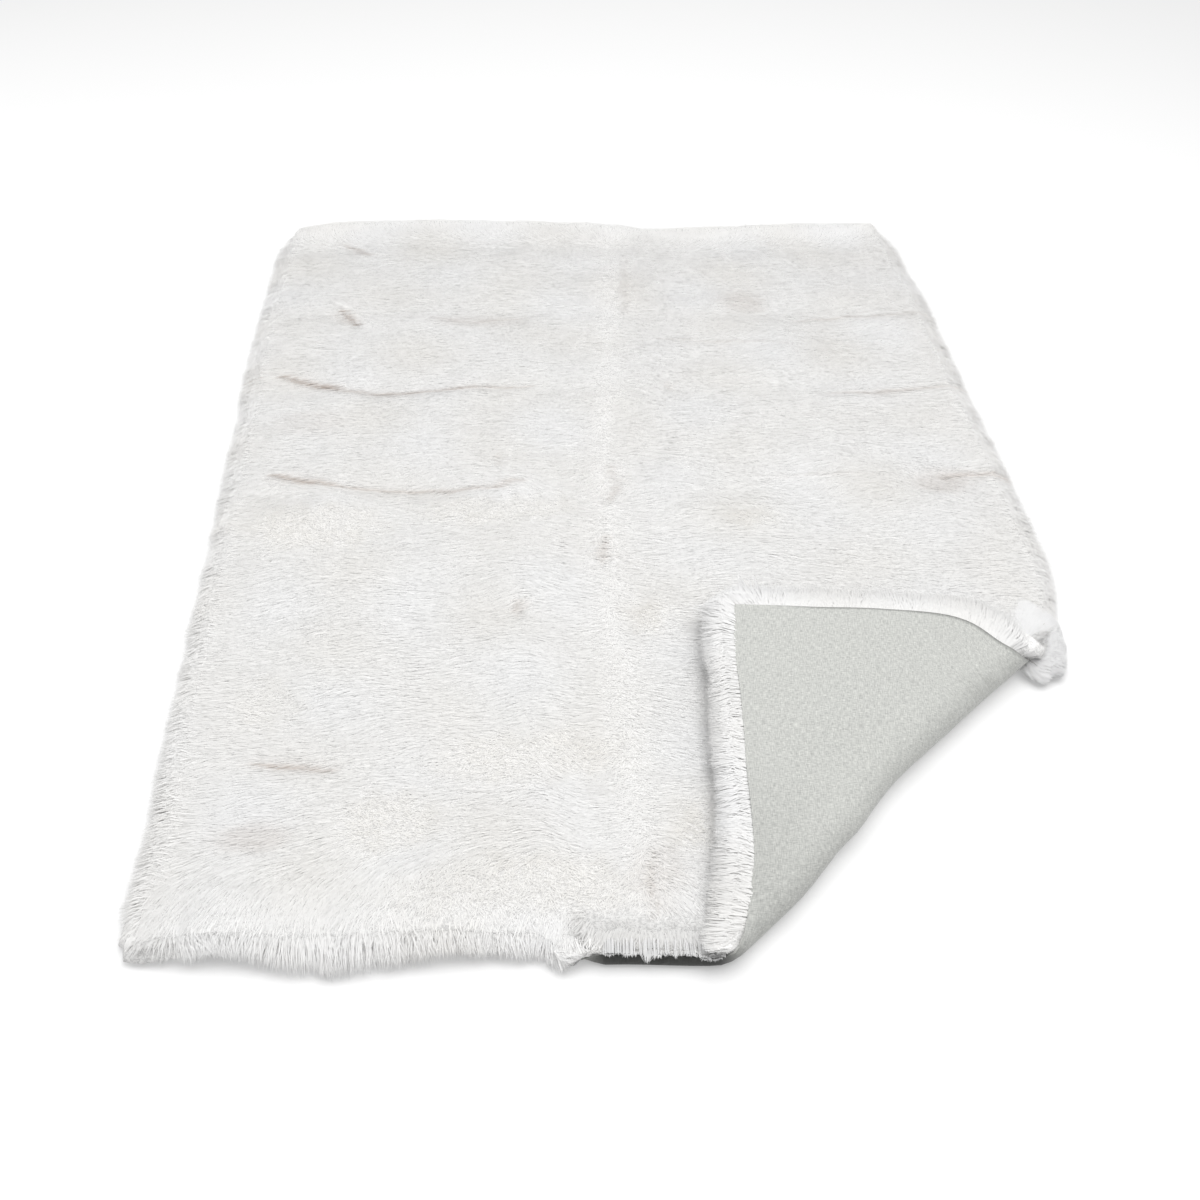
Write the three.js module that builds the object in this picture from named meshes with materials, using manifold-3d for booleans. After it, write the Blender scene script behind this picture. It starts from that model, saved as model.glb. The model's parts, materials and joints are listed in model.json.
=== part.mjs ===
// A fur blanket of fox pelts sewn in two columns and backed with one wool cloth. It lies fur side up on a flat
// surface, and its near right corner is folded over on top, so that the cloth shows there.
// Millimetres, +Z up, +X to the right and +Y away from the near edge. The origin is on the surface, at the
// middle of the blanket's box.
//
// Each point of the blanket is named by its place on the flat cut: X across and Y along. The surface function
// says where that point of the cloth's underside lies, and every solid is a layer on one side of it.
import * as THREE from "three";
import { mergeVertices } from "three/addons/utils/BufferGeometryUtils.js";
import Module from "manifold-3d";

// Driving dimensions
const CUT_WIDTH = 1300;
const CUT_LENGTH = 1800;
const HALF_WIDTH = CUT_WIDTH / 2;
const HALF_LENGTH = CUT_LENGTH / 2;
const LINING_THICKNESS = 1.6;
const LINING_INSET = 2;
const LINING_GAP = 1.3;
const PILE_HEIGHT = 35;
const RIM_REACH = 34;
const SEAM_GAP = 1.8;
const FLOOR_GAP = 0.7;

// The fold: a line across the near right corner, given by a point on it and its direction.
const FOLD_POINT = { x: 320, y: -700 };
const FOLD_ANGLE = THREE.MathUtils.degToRad(42.5);
const ALONG = { x: Math.cos(FOLD_ANGLE), y: Math.sin(FOLD_ANGLE) };
const INWARD = { x: -Math.sin(FOLD_ANGLE), y: Math.cos(FOLD_ANGLE) };
const BEND_STEPS = 8;
const FLAP_RISE = 12;
const FLAP_RISE_LENGTH = 130;
const FLAP_CORNER = { x: 151, y: -362 };

// How the fold's radius and the line of its outer edge change along it
const FOLD_SHAPE = [
  { along: -300, radius: 21, bow: -12 },
  { along: -200, radius: 25, bow: -14 },
  { along: -90, radius: 28, bow: -4 },
  { along: 60, radius: 31, bow: 10 },
  { along: 220, radius: 33, bow: 6 },
  { along: 400, radius: 34, bow: 0 },
];

// The cloth crumples at the right end of the fold, which draws that edge in along the fold.
const CRUMPLE = { pull: 80, reach: 260, centre: -35, spread: 68 };

// How far each edge of the cut lies outside its nominal line, at places along that edge
const LEFT_EDGE = [
  { at: -900, out: 4 },
  { at: -740, out: -8 },
  { at: -600, out: -2 },
  { at: -200, out: 4 },
  { at: 150, out: 11 },
  { at: 400, out: 19 },
  { at: 700, out: 16 },
  { at: 900, out: 12 },
];
const RIGHT_EDGE = [
  { at: -900, out: 13 },
  { at: -600, out: 12 },
  { at: -250, out: 8 },
  { at: 0, out: 4 },
  { at: 300, out: -6 },
  { at: 600, out: -10 },
  { at: 720, out: -24 },
  { at: 900, out: -34 },
];
const FAR_EDGE = [
  { at: -650, out: 14 },
  { at: -500, out: 30 },
  { at: -370, out: 30 },
  { at: -200, out: 18 },
  { at: -80, out: 2 },
  { at: 20, out: -14 },
  { at: 120, out: -34 },
  { at: 350, out: -30 },
  { at: 650, out: -28 },
];
const NEAR_EDGE = [
  { at: -650, out: -10 },
  { at: -400, out: -4 },
  { at: -150, out: 4 },
  { at: -50, out: 52 },
  { at: 90, out: 58 },
  { at: 180, out: 47 },
  { at: 250, out: 47 },
  { at: 400, out: 41 },
  { at: 530, out: 33 },
  { at: 650, out: 30 },
];
const LENGTH_SHIFT = 20;

// The near edge: how high it stands off the surface, and where its border curls up to show the cloth
const NEAR_LIFT = [
  { at: -650, lift: 0 },
  { at: -600, lift: 6 },
  { at: -550, lift: 15 },
  { at: -480, lift: 8 },
  { at: -420, lift: 2 },
  { at: -330, lift: 6 },
  { at: -265, lift: 13 },
  { at: -200, lift: 7 },
  { at: -140, lift: 0 },
];
const NEAR_LIFT_DEPTH = 110;
const CURL = { from: -150, full: -60, fade: 40, to: 100, width: 24, radius: 12, turn: 1.35 };
const BORDER_LINES = [LINING_INSET, 8, 16, 24];

// The corners of the fur, rounded from this far inside its outline
const CORNER_ROUND = { nearLeft: 48, nearRight: 40, farLeft: 84, farRight: 74 };

// The pelts: two columns that meet at a middle seam, in rows from the near edge to the far edge.
const MIDDLE_SEAM = [
  { at: -900, x: -22 },
  { at: -300, x: -30 },
  { at: 100, x: -20 },
  { at: 450, x: 25 },
  { at: 900, x: 48 },
];
const ROW_SEAMS = [-900, -622, -328, -26, 278, 538, 800, 900];
const ROW_CELLS = [5, 5, 5, 5, 4, 4, 2];
const COLUMN_CELLS = 11;
// How deep the fur parts along the seam at the far side of each row: at the outer edge of the left pelt, at the
// middle seam and at the outer edge of the right pelt
const SEAM_DEPTHS = [
  { left: 12, middle: 5, right: 5 },
  { left: 6, middle: 5, right: 5 },
  { left: 17, middle: 5, right: 9 },
  { left: 17, middle: 6, right: 9 },
  { left: 11, middle: 7, right: 10 },
  { left: 10, middle: 6, right: 7 },
];
const SEAM_WIDTH = 30;
const MIDDLE_SEAM_DEPTH = 7;

// The rim of the fur, as shares of its reach past the hide: how much of the pile's height is left there, how
// far the fur bulges past the cloth's side on the flap, and how far at the fold's right end
const RIM = [
  { share: 0, pile: 0.93, flap: 0, puff: 0 },
  { share: 0.5, pile: 0.74, flap: 8, puff: 34 },
  { share: 1, pile: 0.4, flap: 3, puff: 26 },
];
const RIM_PUFF_REACH = 38;
const PUFF_STEP = { low: new THREE.Vector3(26, -34, -14), high: new THREE.Vector3(26, -34, 0) };
const CURL_RIM_LOSS = 24;

// Locks of hair that stand out at the rim
const LOCK = { spacing: 31, base: 42, root: 14, reach: 15, flare: 4, cornerRoom: 40, endRoom: 16 };

const smooth = (low, high, value) => THREE.MathUtils.smoothstep(value, low, high);

// The value of a column at a place in a table, eased between its rows.
function lookup(table, key, column, place) {
  const after = table.findIndex((row) => row[key] >= place);
  if (after === 0) return table[0][column];
  if (after < 0) return table[table.length - 1][column];
  const [a, b] = [table[after - 1], table[after]];
  const share = smooth(a[key], b[key], place);
  return a[column] + (b[column] - a[column]) * share;
}

// The corner of the cut that a point is nearest to, rounded: the square corner is pressed into a circle.
function roundCorner(X, Y) {
  const name = (Y < 0 ? "near" : "far") + (X < 0 ? "Left" : "Right");
  const radius = CORNER_ROUND[name];
  const a = (Math.abs(X) - (HALF_WIDTH + RIM_REACH - radius)) / radius;
  const b = (Math.abs(Y) - (HALF_LENGTH + RIM_REACH - radius)) / radius;
  if (a <= 0 || b <= 0) return [X, Y];
  const shrinkX = a * radius * (1 - Math.sqrt(Math.max(0, 1 - (b * b) / 2)));
  const shrinkY = b * radius * (1 - Math.sqrt(Math.max(0, 1 - (a * a) / 2)));
  return [X - Math.sign(X) * shrinkX, Y - Math.sign(Y) * shrinkY];
}

// Where a point of the nominal cut is on the real cut, whose edges aren't straight.
function realCut(X, Y) {
  const [x, y] = roundCorner(X, Y);
  const right = THREE.MathUtils.clamp((x + HALF_WIDTH) / CUT_WIDTH, 0, 1);
  const far = THREE.MathUtils.clamp((y + HALF_LENGTH) / CUT_LENGTH, 0, 1);
  const outRight = lookup(RIGHT_EDGE, "at", "out", y);
  const outLeft = lookup(LEFT_EDGE, "at", "out", y);
  const outFar = lookup(FAR_EDGE, "at", "out", x);
  const outNear = lookup(NEAR_EDGE, "at", "out", x);
  const seam = lookup(MIDDLE_SEAM, "at", "x", y) * (1 - Math.abs(2 * right - 1));
  return {
    x: x + outRight * right - outLeft * (1 - right) + seam,
    y: y + LENGTH_SHIFT + outFar * far * far - outNear * (1 - far) * (1 - far),
  };
}

// A real cut point in the fold's own directions: along it, and inward of it.
function foldFrame({ x, y }) {
  const [dx, dy] = [x - FOLD_POINT.x, y - FOLD_POINT.y];
  return {
    along: dx * ALONG.x + dy * ALONG.y,
    inward: dx * INWARD.x + dy * INWARD.y,
  };
}

// How far the crumpled edge is drawn along the fold, at a distance inside the right edge.
function crumplePull(inside, inward) {
  const near = 1 - smooth(0, CRUMPLE.reach, inside);
  const off = (inward - CRUMPLE.centre) / CRUMPLE.spread;
  return CRUMPLE.pull * near * Math.exp(-off * off);
}

// How much of the curl the near edge has at a place across the blanket.
const curlShare = (x) => smooth(CURL.from, CURL.full, x) * (1 - smooth(CURL.fade, CURL.to, x));

// The near edge's lift and its curled border, as a rise and a step inward.
function nearBorder(x, inside) {
  const lift = lookup(NEAR_LIFT, "at", "lift", x) * Math.pow(1 - smooth(0, NEAR_LIFT_DEPTH, inside), 1.5);
  const bent = Math.max(0, CURL.width - inside);
  const angle = Math.min(bent / CURL.radius, CURL.turn) * curlShare(x);
  const straight = bent - angle * CURL.radius;
  return {
    rise: lift + CURL.radius * (1 - Math.cos(angle)) + straight * Math.sin(angle),
    step: bent - CURL.radius * Math.sin(angle) - straight * Math.cos(angle),
  };
}

// The place of a point of the nominal cut on the underside of the cloth, as it lies folded.
function surface(X, Y) {
  const cut = realCut(X, Y);
  const { along, inward } = foldFrame(cut);
  const pulled = along - crumplePull((HALF_WIDTH - X) / ALONG.x, inward);
  const radius = lookup(FOLD_SHAPE, "along", "radius", pulled);
  const start = radius + lookup(FOLD_SHAPE, "along", "bow", pulled);
  const past = start - inward;
  const turn = THREE.MathUtils.clamp(past / radius, 0, Math.PI);
  const flap = Math.max(0, past - Math.PI * radius);
  const across = past < 0 ? inward : start - radius * Math.sin(turn) + flap;
  const height = radius * (1 - Math.cos(turn)) + FLAP_RISE * smooth(0, FLAP_RISE_LENGTH, flap);
  const border = nearBorder(cut.x, Y + HALF_LENGTH);
  const grounded = 1 - turn / Math.PI;
  return new THREE.Vector3(
    FOLD_POINT.x + pulled * ALONG.x + across * INWARD.x,
    FOLD_POINT.y + pulled * ALONG.y + across * INWARD.y + border.step * grounded,
    height + border.rise * grounded,
  );
}

// How far round the fold a point of the cut is: 0 on the ground side, 1 on the flap, and 0.5 at the outer edge.
function foldShare(X, Y) {
  const { along, inward } = foldFrame(realCut(X, Y));
  const radius = lookup(FOLD_SHAPE, "along", "radius", along);
  const start = radius + lookup(FOLD_SHAPE, "along", "bow", along);
  return { radius, turned: (start - inward) / (Math.PI * radius) };
}

// The direction from the cloth towards the fur. Past the hide's edge it is the edge's own.
function furward(gridX, gridY) {
  const step = 0.5;
  const X = THREE.MathUtils.clamp(gridX, 2 - HALF_WIDTH, HALF_WIDTH - 2);
  const Y = THREE.MathUtils.clamp(gridY, 2 - HALF_LENGTH, HALF_LENGTH - 2);
  const dx = surface(X + step, Y).sub(surface(X - step, Y));
  const dy = surface(X, Y + step).sub(surface(X, Y - step));
  return dx.cross(dy).normalize();
}

const layered = (X, Y, offset) => surface(X, Y).addScaledVector(furward(X, Y), offset);

// The height of the pile at a point of the cut, before the rim rounds it off.
function pileHeight(X, Y) {
  const lumps = 1 + 0.05 * Math.sin(X / 83 + Y / 190 + 1.3) * Math.cos(Y / 61) + 0.04 * Math.sin(X / 41 - Y / 57);
  let height = PILE_HEIGHT * lumps;
  const side = X < 0 ? "left" : "right";
  const outward = Math.min(1, Math.abs(X) / HALF_WIDTH);
  SEAM_DEPTHS.forEach((depths, row) => {
    const depth = depths.middle + (depths[side] - depths.middle) * outward;
    const off = (Y - ROW_SEAMS[row + 1]) / SEAM_WIDTH;
    height -= depth * Math.exp(-off * off);
  });
  const offMiddle = X / SEAM_WIDTH;
  height -= MIDDLE_SEAM_DEPTH * Math.exp(-offMiddle * offMiddle);

  // Under the flap and on it the pile is pressed, and in the bend it has the room of the bend's radius.
  const { radius, turned } = foldShare(X, Y);
  const cut = realCut(X, Y);
  const insideLeft = cut.x - (FLAP_CORNER.x + 0.068 * (cut.y - FLAP_CORNER.y));
  const insideTop = FLAP_CORNER.y - 0.09 * (cut.x - FLAP_CORNER.x) - cut.y;
  const covered = smooth(-75, 10, Math.min(insideLeft, insideTop));
  const fromBend = (Math.abs(turned - 0.5) * Math.PI * radius) / FLAP_RISE_LENGTH;
  const nearBend = 1 - smooth(0.2, 1.1, fromBend);
  const pressed = radius + FLAP_RISE / 2 - 4.5 - (FLAP_RISE / 2 + 1.5) * nearBend - 2 * puffShare(X, Y);
  const press = turned > 0.5 ? 1 : covered;
  height += (Math.min(height, pressed) - height) * press;

  // The curled border has room for short pile only.
  const room = 7 + 28 * smooth(CURL.width / 2, 70, Y + HALF_LENGTH);
  return height + (Math.min(height, room) - height) * smooth(0, 0.45, curlShare(cut.x));
}

// How much of the bulge of the fold's right end a point has.
function puffShare(X, Y) {
  const { inward } = foldFrame(realCut(X, Y));
  const off = (inward - CRUMPLE.centre) / (CRUMPLE.spread * 0.8);
  const bent = smooth(0.1, 0.45, foldShare(X, Y).turned);
  return X > 0 && Y < 0 ? Math.exp(-off * off) * smooth(-700, -500, Y) * bent : 0;
}

// How far the rim reaches past the hide, at a point of the edge.
function rimReach(X, Y) {
  const near = Y <= -HALF_LENGTH + 1 ? 1 : 0;
  const curled = curlShare(realCut(X, Y).x) * near;
  return RIM_REACH + RIM_PUFF_REACH * puffShare(X, Y) - CURL_RIM_LOSS * curled;
}

// The underside and the top of the fur as offsets from the cloth's underside. A grid point is given by the hide's
// point and its share of the rim.
function furLayer(X, Y, share) {
  const pile = pileHeight(X, Y);
  const hide = LINING_THICKNESS + LINING_GAP;
  const onFlap = smooth(0.55, 1.1, foldShare(X, Y).turned);
  const puff = puffShare(X, Y);
  const bulge = lookup(RIM, "share", "flap", share) * onFlap + lookup(RIM, "share", "puff", share) * puff;
  const flat = Y < 1 - HALF_LENGTH ? 1 - curlShare(realCut(X, Y).x) : 1;
  const low = hide - (hide - FLOOR_GAP) * smooth(0, 0.5, share) * flat - bulge;
  return { low, high: hide + pile * lookup(RIM, "share", "pile", share) };
}

// A rectangular grid of the cut with its triangles. A grid line past the hide's edge is part of the rim.
function gridOf(xs, ys) {
  const point = (i, j) => ({ id: `${i}/${j}`, gx: xs[i], gy: ys[j] });
  const cells = [];
  for (let i = 0; i + 1 < xs.length; i++)
    for (let j = 0; j + 1 < ys.length; j++)
      cells.push([point(i, j), point(i + 1, j), point(i + 1, j + 1), point(i, j + 1)]);
  return cells;
}

// Where a grid coordinate is: its hide part, and its share of the rim.
function splitRim(value, half) {
  const past = Math.max(0, Math.abs(value) - half);
  return { hide: Math.sign(value) * Math.min(Math.abs(value), half), share: past / RIM_REACH };
}

function gridPlace(gx, gy) {
  const [h, v] = [splitRim(gx, HALF_WIDTH), splitRim(gy, HALF_LENGTH)];
  const reach = rimReach(h.hide, v.hide) / RIM_REACH;
  const X = h.hide + Math.sign(gx) * h.share * RIM_REACH * reach;
  const Y = v.hide + Math.sign(gy) * v.share * RIM_REACH * reach;
  return { X, Y, hideX: h.hide, hideY: v.hide, share: Math.max(h.share, v.share) };
}

const pairOf = (cells) => cells.flatMap(([a, b, c, d]) => [[a, b, c], [a, c, d]]);

// Each cell as four triangles round a middle point, which lets the pile's lumps show.
function fanOf(cells) {
  return cells.flatMap(([a, b, c, d]) => {
    const middle = { gx: (a.gx + c.gx) / 2, gy: (a.gy + c.gy) / 2 };
    return [[a, b, middle], [b, c, middle], [c, d, middle], [d, a, middle]];
  });
}

const bendPlace = (p) => {
  const { X, Y } = gridPlace(p.gx, p.gy);
  return foldShare(X, Y).turned;
};

// The point where an edge crosses a level, the same whichever way round the edge is given.
function crossing(a, b, level) {
  const [p, q] = a.gx < b.gx || (a.gx === b.gx && a.gy < b.gy) ? [a, b] : [b, a];
  const t = (level - p.place) / (q.place - p.place);
  return { gx: p.gx + (q.gx - p.gx) * t, gy: p.gy + (q.gy - p.gy) * t, place: level };
}

// The triangles again, cut along the lines of the fold, so that the bend is round.
function cutAlongFold(triangles) {
  let list = triangles.map((t) => t.map((p) => ({ ...p, place: bendPlace(p) })));
  for (let step = 0; step <= BEND_STEPS; step++) {
    const level = step / BEND_STEPS;
    list = list.flatMap((t) => {
      const side = t.map((p) => (Math.abs(p.place - level) < 0.012 ? 0 : Math.sign(p.place - level)));
      if (!side.includes(1) || !side.includes(-1)) return [t];
      const lone = side.includes(0)
        ? side.indexOf(0)
        : side.findIndex((s) => side.filter((other) => other === s).length === 1);
      const [a, b, c] = [t[lone], t[(lone + 1) % 3], t[(lone + 2) % 3]];
      if (side[lone] === 0) {
        const middle = crossing(b, c, level);
        return [[a, b, middle], [a, middle, c]];
      }
      const [ab, ac] = [crossing(a, b, level), crossing(a, c, level)];
      return [[a, ab, ac], [ab, b, c], [ab, c, ac]];
    });
  }
  return list;
}

const keyOf = (p) => `${p.gx.toFixed(4)}/${p.gy.toFixed(4)}`;

// The edges that only one triangle has, in that triangle's direction.
function outlineOf(triangles) {
  const edges = new Map();
  for (const t of triangles)
    t.forEach((p, i) => edges.set(`${keyOf(p)}>${keyOf(t[(i + 1) % 3])}`, [p, t[(i + 1) % 3]]));
  return [...edges.values()].filter(([a, b]) => !edges.has(`${keyOf(b)}>${keyOf(a)}`));
}

// A closed layer between two sets of triangles of the same region of the cut.
function closedLayer(topTriangles, bottomTriangles, top, bottom) {
  const corners = [];
  const add = (...points) => points.forEach((p) => corners.push(p.x, p.y, p.z));
  topTriangles.forEach(([a, b, c]) => add(top(a), top(b), top(c)));
  bottomTriangles.forEach(([a, b, c]) => add(bottom(a), bottom(c), bottom(b)));
  for (const [a, b] of outlineOf(bottomTriangles)) {
    // A seam's two walls are split the same way, so that they stay apart where they twist.
    const corner = a.gx + a.gy < b.gx + b.gy ? top(b) : top(a);
    add(bottom(a), bottom(b), corner);
    add(a.gx + a.gy < b.gx + b.gy ? bottom(a) : bottom(b), top(b), top(a));
  }
  const geometry = new THREE.BufferGeometry();
  geometry.setAttribute("position", new THREE.Float32BufferAttribute(corners, 3));
  return geometry;
}

const spaced = (from, to, count) => Array.from({ length: count + 1 }, (_, i) => from + ((to - from) * i) / count);

// The layer of fur over one pelt.
function peltGeometry(xs, ys) {
  const cells = gridOf(xs, ys);
  const place = (p, side) => {
    const { X, Y, hideX, hideY, share } = gridPlace(p.gx, p.gy);
    const point = layered(X, Y, furLayer(hideX, hideY, share)[side]);
    point.addScaledVector(PUFF_STEP[side], puffShare(hideX, hideY) * smooth(0, 0.5, share));
    return point.setZ(Math.max(point.z, FLOOR_GAP));
  };
  return closedLayer(
    cutAlongFold(fanOf(cells)),
    cutAlongFold(pairOf(cells)),
    (p) => place(p, "high"),
    (p) => place(p, "low"),
  );
}

const wasm = await Module();
wasm.setup();

function toSolid(geometry) {
  const bare = geometry.index ? geometry.toNonIndexed() : geometry.clone();
  bare.deleteAttribute("normal");
  bare.deleteAttribute("uv");
  const merged = mergeVertices(bare, 1e-3);
  return new wasm.Manifold(
    new wasm.Mesh({
      numProp: 3,
      vertProperties: merged.attributes.position.array,
      triVerts: new Uint32Array(merged.index.array),
    }),
  );
}

function toGeometry(solid) {
  const mesh = solid.getMesh();
  const geometry = new THREE.BufferGeometry();
  geometry.setAttribute("position", new THREE.BufferAttribute(new Float32Array(mesh.vertProperties), mesh.numProp));
  geometry.setIndex(new THREE.BufferAttribute(new Uint32Array(mesh.triVerts), 1));
  return geometry.toNonIndexed();
}

// One lock of hair: a four-sided spike from its root in the rim to its tip. Every third lock is longer.
function lockGeometry(edge, outward, number) {
  const sideways = { x: -outward.y, y: outward.x };
  const long = number % 3 === 0 ? 1.25 : 1;
  const reach = rimReach(edge.x, edge.y);
  const lean = ((number * 7) % 5) - 2;
  const at = (distance, aside, share, lift) => {
    const X = edge.x + outward.x * distance + sideways.x * aside;
    const Y = edge.y + outward.y * distance + sideways.y * aside;
    const layer = furLayer(edge.x, edge.y, Math.min(1, share));
    return layered(X, Y, layer.low + (layer.high - layer.low) * lift);
  };
  const root = reach - LOCK.root;
  const corners = [
    at(root, -LOCK.base / 2, 0.6, 0.12),
    at(root, LOCK.base / 2, 0.6, 0.12),
    at(root, LOCK.base / 2, 0.6, 0.75),
    at(root, -LOCK.base / 2, 0.6, 0.75),
  ];
  const brim = at(reach - 1, 0, 1, 0.3);
  const outDirection = brim.clone().sub(at(root, 0, 0.6, 0.3)).normalize();
  const aside = corners[1].clone().sub(corners[0]).normalize();
  const tip = brim.addScaledVector(outDirection, LOCK.reach * long).addScaledVector(aside, lean * LOCK.flare);
  tip.z = Math.max(tip.z, FLOOR_GAP + 1.5);
  const faces = [[0, 1, 4], [1, 2, 4], [2, 3, 4], [3, 0, 4], [1, 0, 2], [2, 0, 3]];
  const points = [...corners, tip];
  const geometry = new THREE.BufferGeometry();
  const flat = faces.flatMap((face) => face.flatMap((i) => points[i].toArray()));
  geometry.setAttribute("position", new THREE.Float32BufferAttribute(flat, 3));
  return geometry;
}

// A spike whose faces point out, whichever way its side of the blanket turned it.
function lockSolid(edge, outward, number) {
  const geometry = lockGeometry(edge, outward, number);
  const solid = toSolid(geometry);
  if (solid.volume() > 0) return solid;
  const position = geometry.attributes.position;
  for (let i = 0; i < position.count; i += 3) {
    const [a, b] = [new THREE.Vector3(), new THREE.Vector3()];
    a.fromBufferAttribute(position, i);
    b.fromBufferAttribute(position, i + 1);
    position.setXYZ(i, b.x, b.y, b.z);
    position.setXYZ(i + 1, a.x, a.y, a.z);
  }
  return toSolid(geometry);
}

// Whether an edge point is on the curl, in the bend or on the bulge, where no lock has the room to stand out.
function isCrowded(edge, outward) {
  const curled = outward.y < 0 && curlShare(realCut(edge.x, edge.y).x) > 0.05;
  const { turned } = foldShare(edge.x, edge.y);
  return curled || (turned > -0.3 && turned < 1.3) || puffShare(edge.x, edge.y) > 0.3;
}

// The locks along the outer edges of a pelt that spans these sizes of the cut.
function locksOf(x0, x1, y0, y1, isLeft, isNear, isFar) {
  const locks = [];
  const along = (from, to, edgeOf, outward) => {
    const count = Math.max(1, Math.round((to - from) / LOCK.spacing));
    for (let i = 0; i < count; i++) {
      const edge = edgeOf(from + ((to - from) * (i + 0.5)) / count);
      if (isCrowded(edge, outward)) continue;
      locks.push(lockSolid(edge, outward, locks.length + Math.round(Math.abs(from))));
    }
  };
  const { cornerRoom, endRoom } = LOCK;
  const side = isLeft ? -1 : 1;
  along(
    y0 + (isNear ? cornerRoom : endRoom),
    y1 - (isFar ? cornerRoom : endRoom),
    (y) => ({ x: side * HALF_WIDTH, y }),
    { x: side, y: 0 },
  );
  const [left, right] = [x0 + (isLeft ? cornerRoom : endRoom), x1 - (isLeft ? endRoom : cornerRoom)];
  if (isNear) along(left, right, (x) => ({ x, y: -HALF_LENGTH }), { x: 0, y: -1 });
  if (isFar) along(left, right, (x) => ({ x, y: HALF_LENGTH }), { x: 0, y: 1 });
  return locks;
}

function peltSolid(row, isLeft) {
  const isNear = row === 0;
  const isFar = row === ROW_CELLS.length - 1;
  const [y0, y1] = [ROW_SEAMS[row], ROW_SEAMS[row + 1]];
  const [x0, x1] = isLeft ? [-HALF_WIDTH, -SEAM_GAP / 2] : [SEAM_GAP / 2, HALF_WIDTH];
  const rimSteps = [RIM_REACH / 2, RIM_REACH];
  const xs = spaced(x0, x1, COLUMN_CELLS);
  const ys = spaced(y0 + (isNear ? 0 : SEAM_GAP / 2), y1 - (isFar ? 0 : SEAM_GAP / 2), ROW_CELLS[row]);
  if (isNear) ys.splice(1, 0, ...BORDER_LINES.map((inside) => y0 + inside));
  if (isLeft) xs.unshift(...rimSteps.map((step) => x0 - step).reverse());
  else xs.push(...rimSteps.map((step) => x1 + step));
  if (isNear) ys.unshift(...rimSteps.map((step) => y0 - step).reverse());
  if (isFar) ys.push(...rimSteps.map((step) => y1 + step));
  const body = toSolid(peltGeometry(xs, ys));
  const joined = locksOf(x0, x1, y0, y1, isLeft, isNear, isFar).reduce((solid, lock) => solid.add(lock), body);
  return joined.decompose().reduce((most, piece) => (piece.volume() > most.volume() ? piece : most));
}

// The cloth on the fur's underside. Its grid is the pelts' own where the blanket bends, and coarse past there.
function liningGeometry() {
  const xs = spaced(-HALF_WIDTH, HALF_WIDTH, 2 * COLUMN_CELLS);
  xs[0] += LINING_INSET;
  xs[xs.length - 1] -= LINING_INSET;
  const ys = BORDER_LINES.map((inside) => inside - HALF_LENGTH);
  for (const row of [0, 1, 2]) ys.push(...spaced(ROW_SEAMS[row], ROW_SEAMS[row + 1], ROW_CELLS[row]).slice(1));
  ys.push(...ROW_SEAMS.slice(4, -1), HALF_LENGTH - LINING_INSET);
  const triangles = cutAlongFold(pairOf(gridOf(xs, ys)));
  return closedLayer(
    triangles,
    triangles,
    (p) => layered(p.gx, p.gy, LINING_THICKNESS),
    (p) => layered(p.gx, p.gy, 0),
  );
}

const furMaterial = new THREE.MeshStandardMaterial({ color: 0xefeeea, roughness: 0.95, metalness: 0 });
const clothMaterial = new THREE.MeshStandardMaterial({ color: 0xc5c7c0, roughness: 0.9, metalness: 0 });

function named(name, geometry, material) {
  const mesh = new THREE.Mesh(geometry, material);
  mesh.name = name;
  return mesh;
}

const blanket = new THREE.Group();
blanket.add(named("lining", liningGeometry(), clothMaterial));
ROW_CELLS.forEach((_, row) => {
  blanket.add(named(`pelt_left_${row + 1}`, toGeometry(peltSolid(row, true)), furMaterial));
  blanket.add(named(`pelt_right_${row + 1}`, toGeometry(peltSolid(row, false)), furMaterial));
});

// The origin at the middle of the blanket's box, on the surface that it lies on
const centre = new THREE.Box3().setFromObject(blanket).getCenter(new THREE.Vector3());
blanket.children.forEach((mesh) => mesh.geometry.translate(-centre.x, -centre.y, 0));

export default blanket;
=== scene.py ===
"""A fox fur blanket that lies fur side up on a pale floor, with its near right corner folded over.

The blanket is described on its flat cut: X across and Y along, in millimetres, with the fur side at positive
heights. FoldedCut says where each point of the cut lies, and every piece is a layer on it: the wool lining, the
dense underfur of each pelt, and the long guard hair over it.
"""

import json
import logging
import math
from dataclasses import dataclass, field
from enum import Enum

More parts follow.
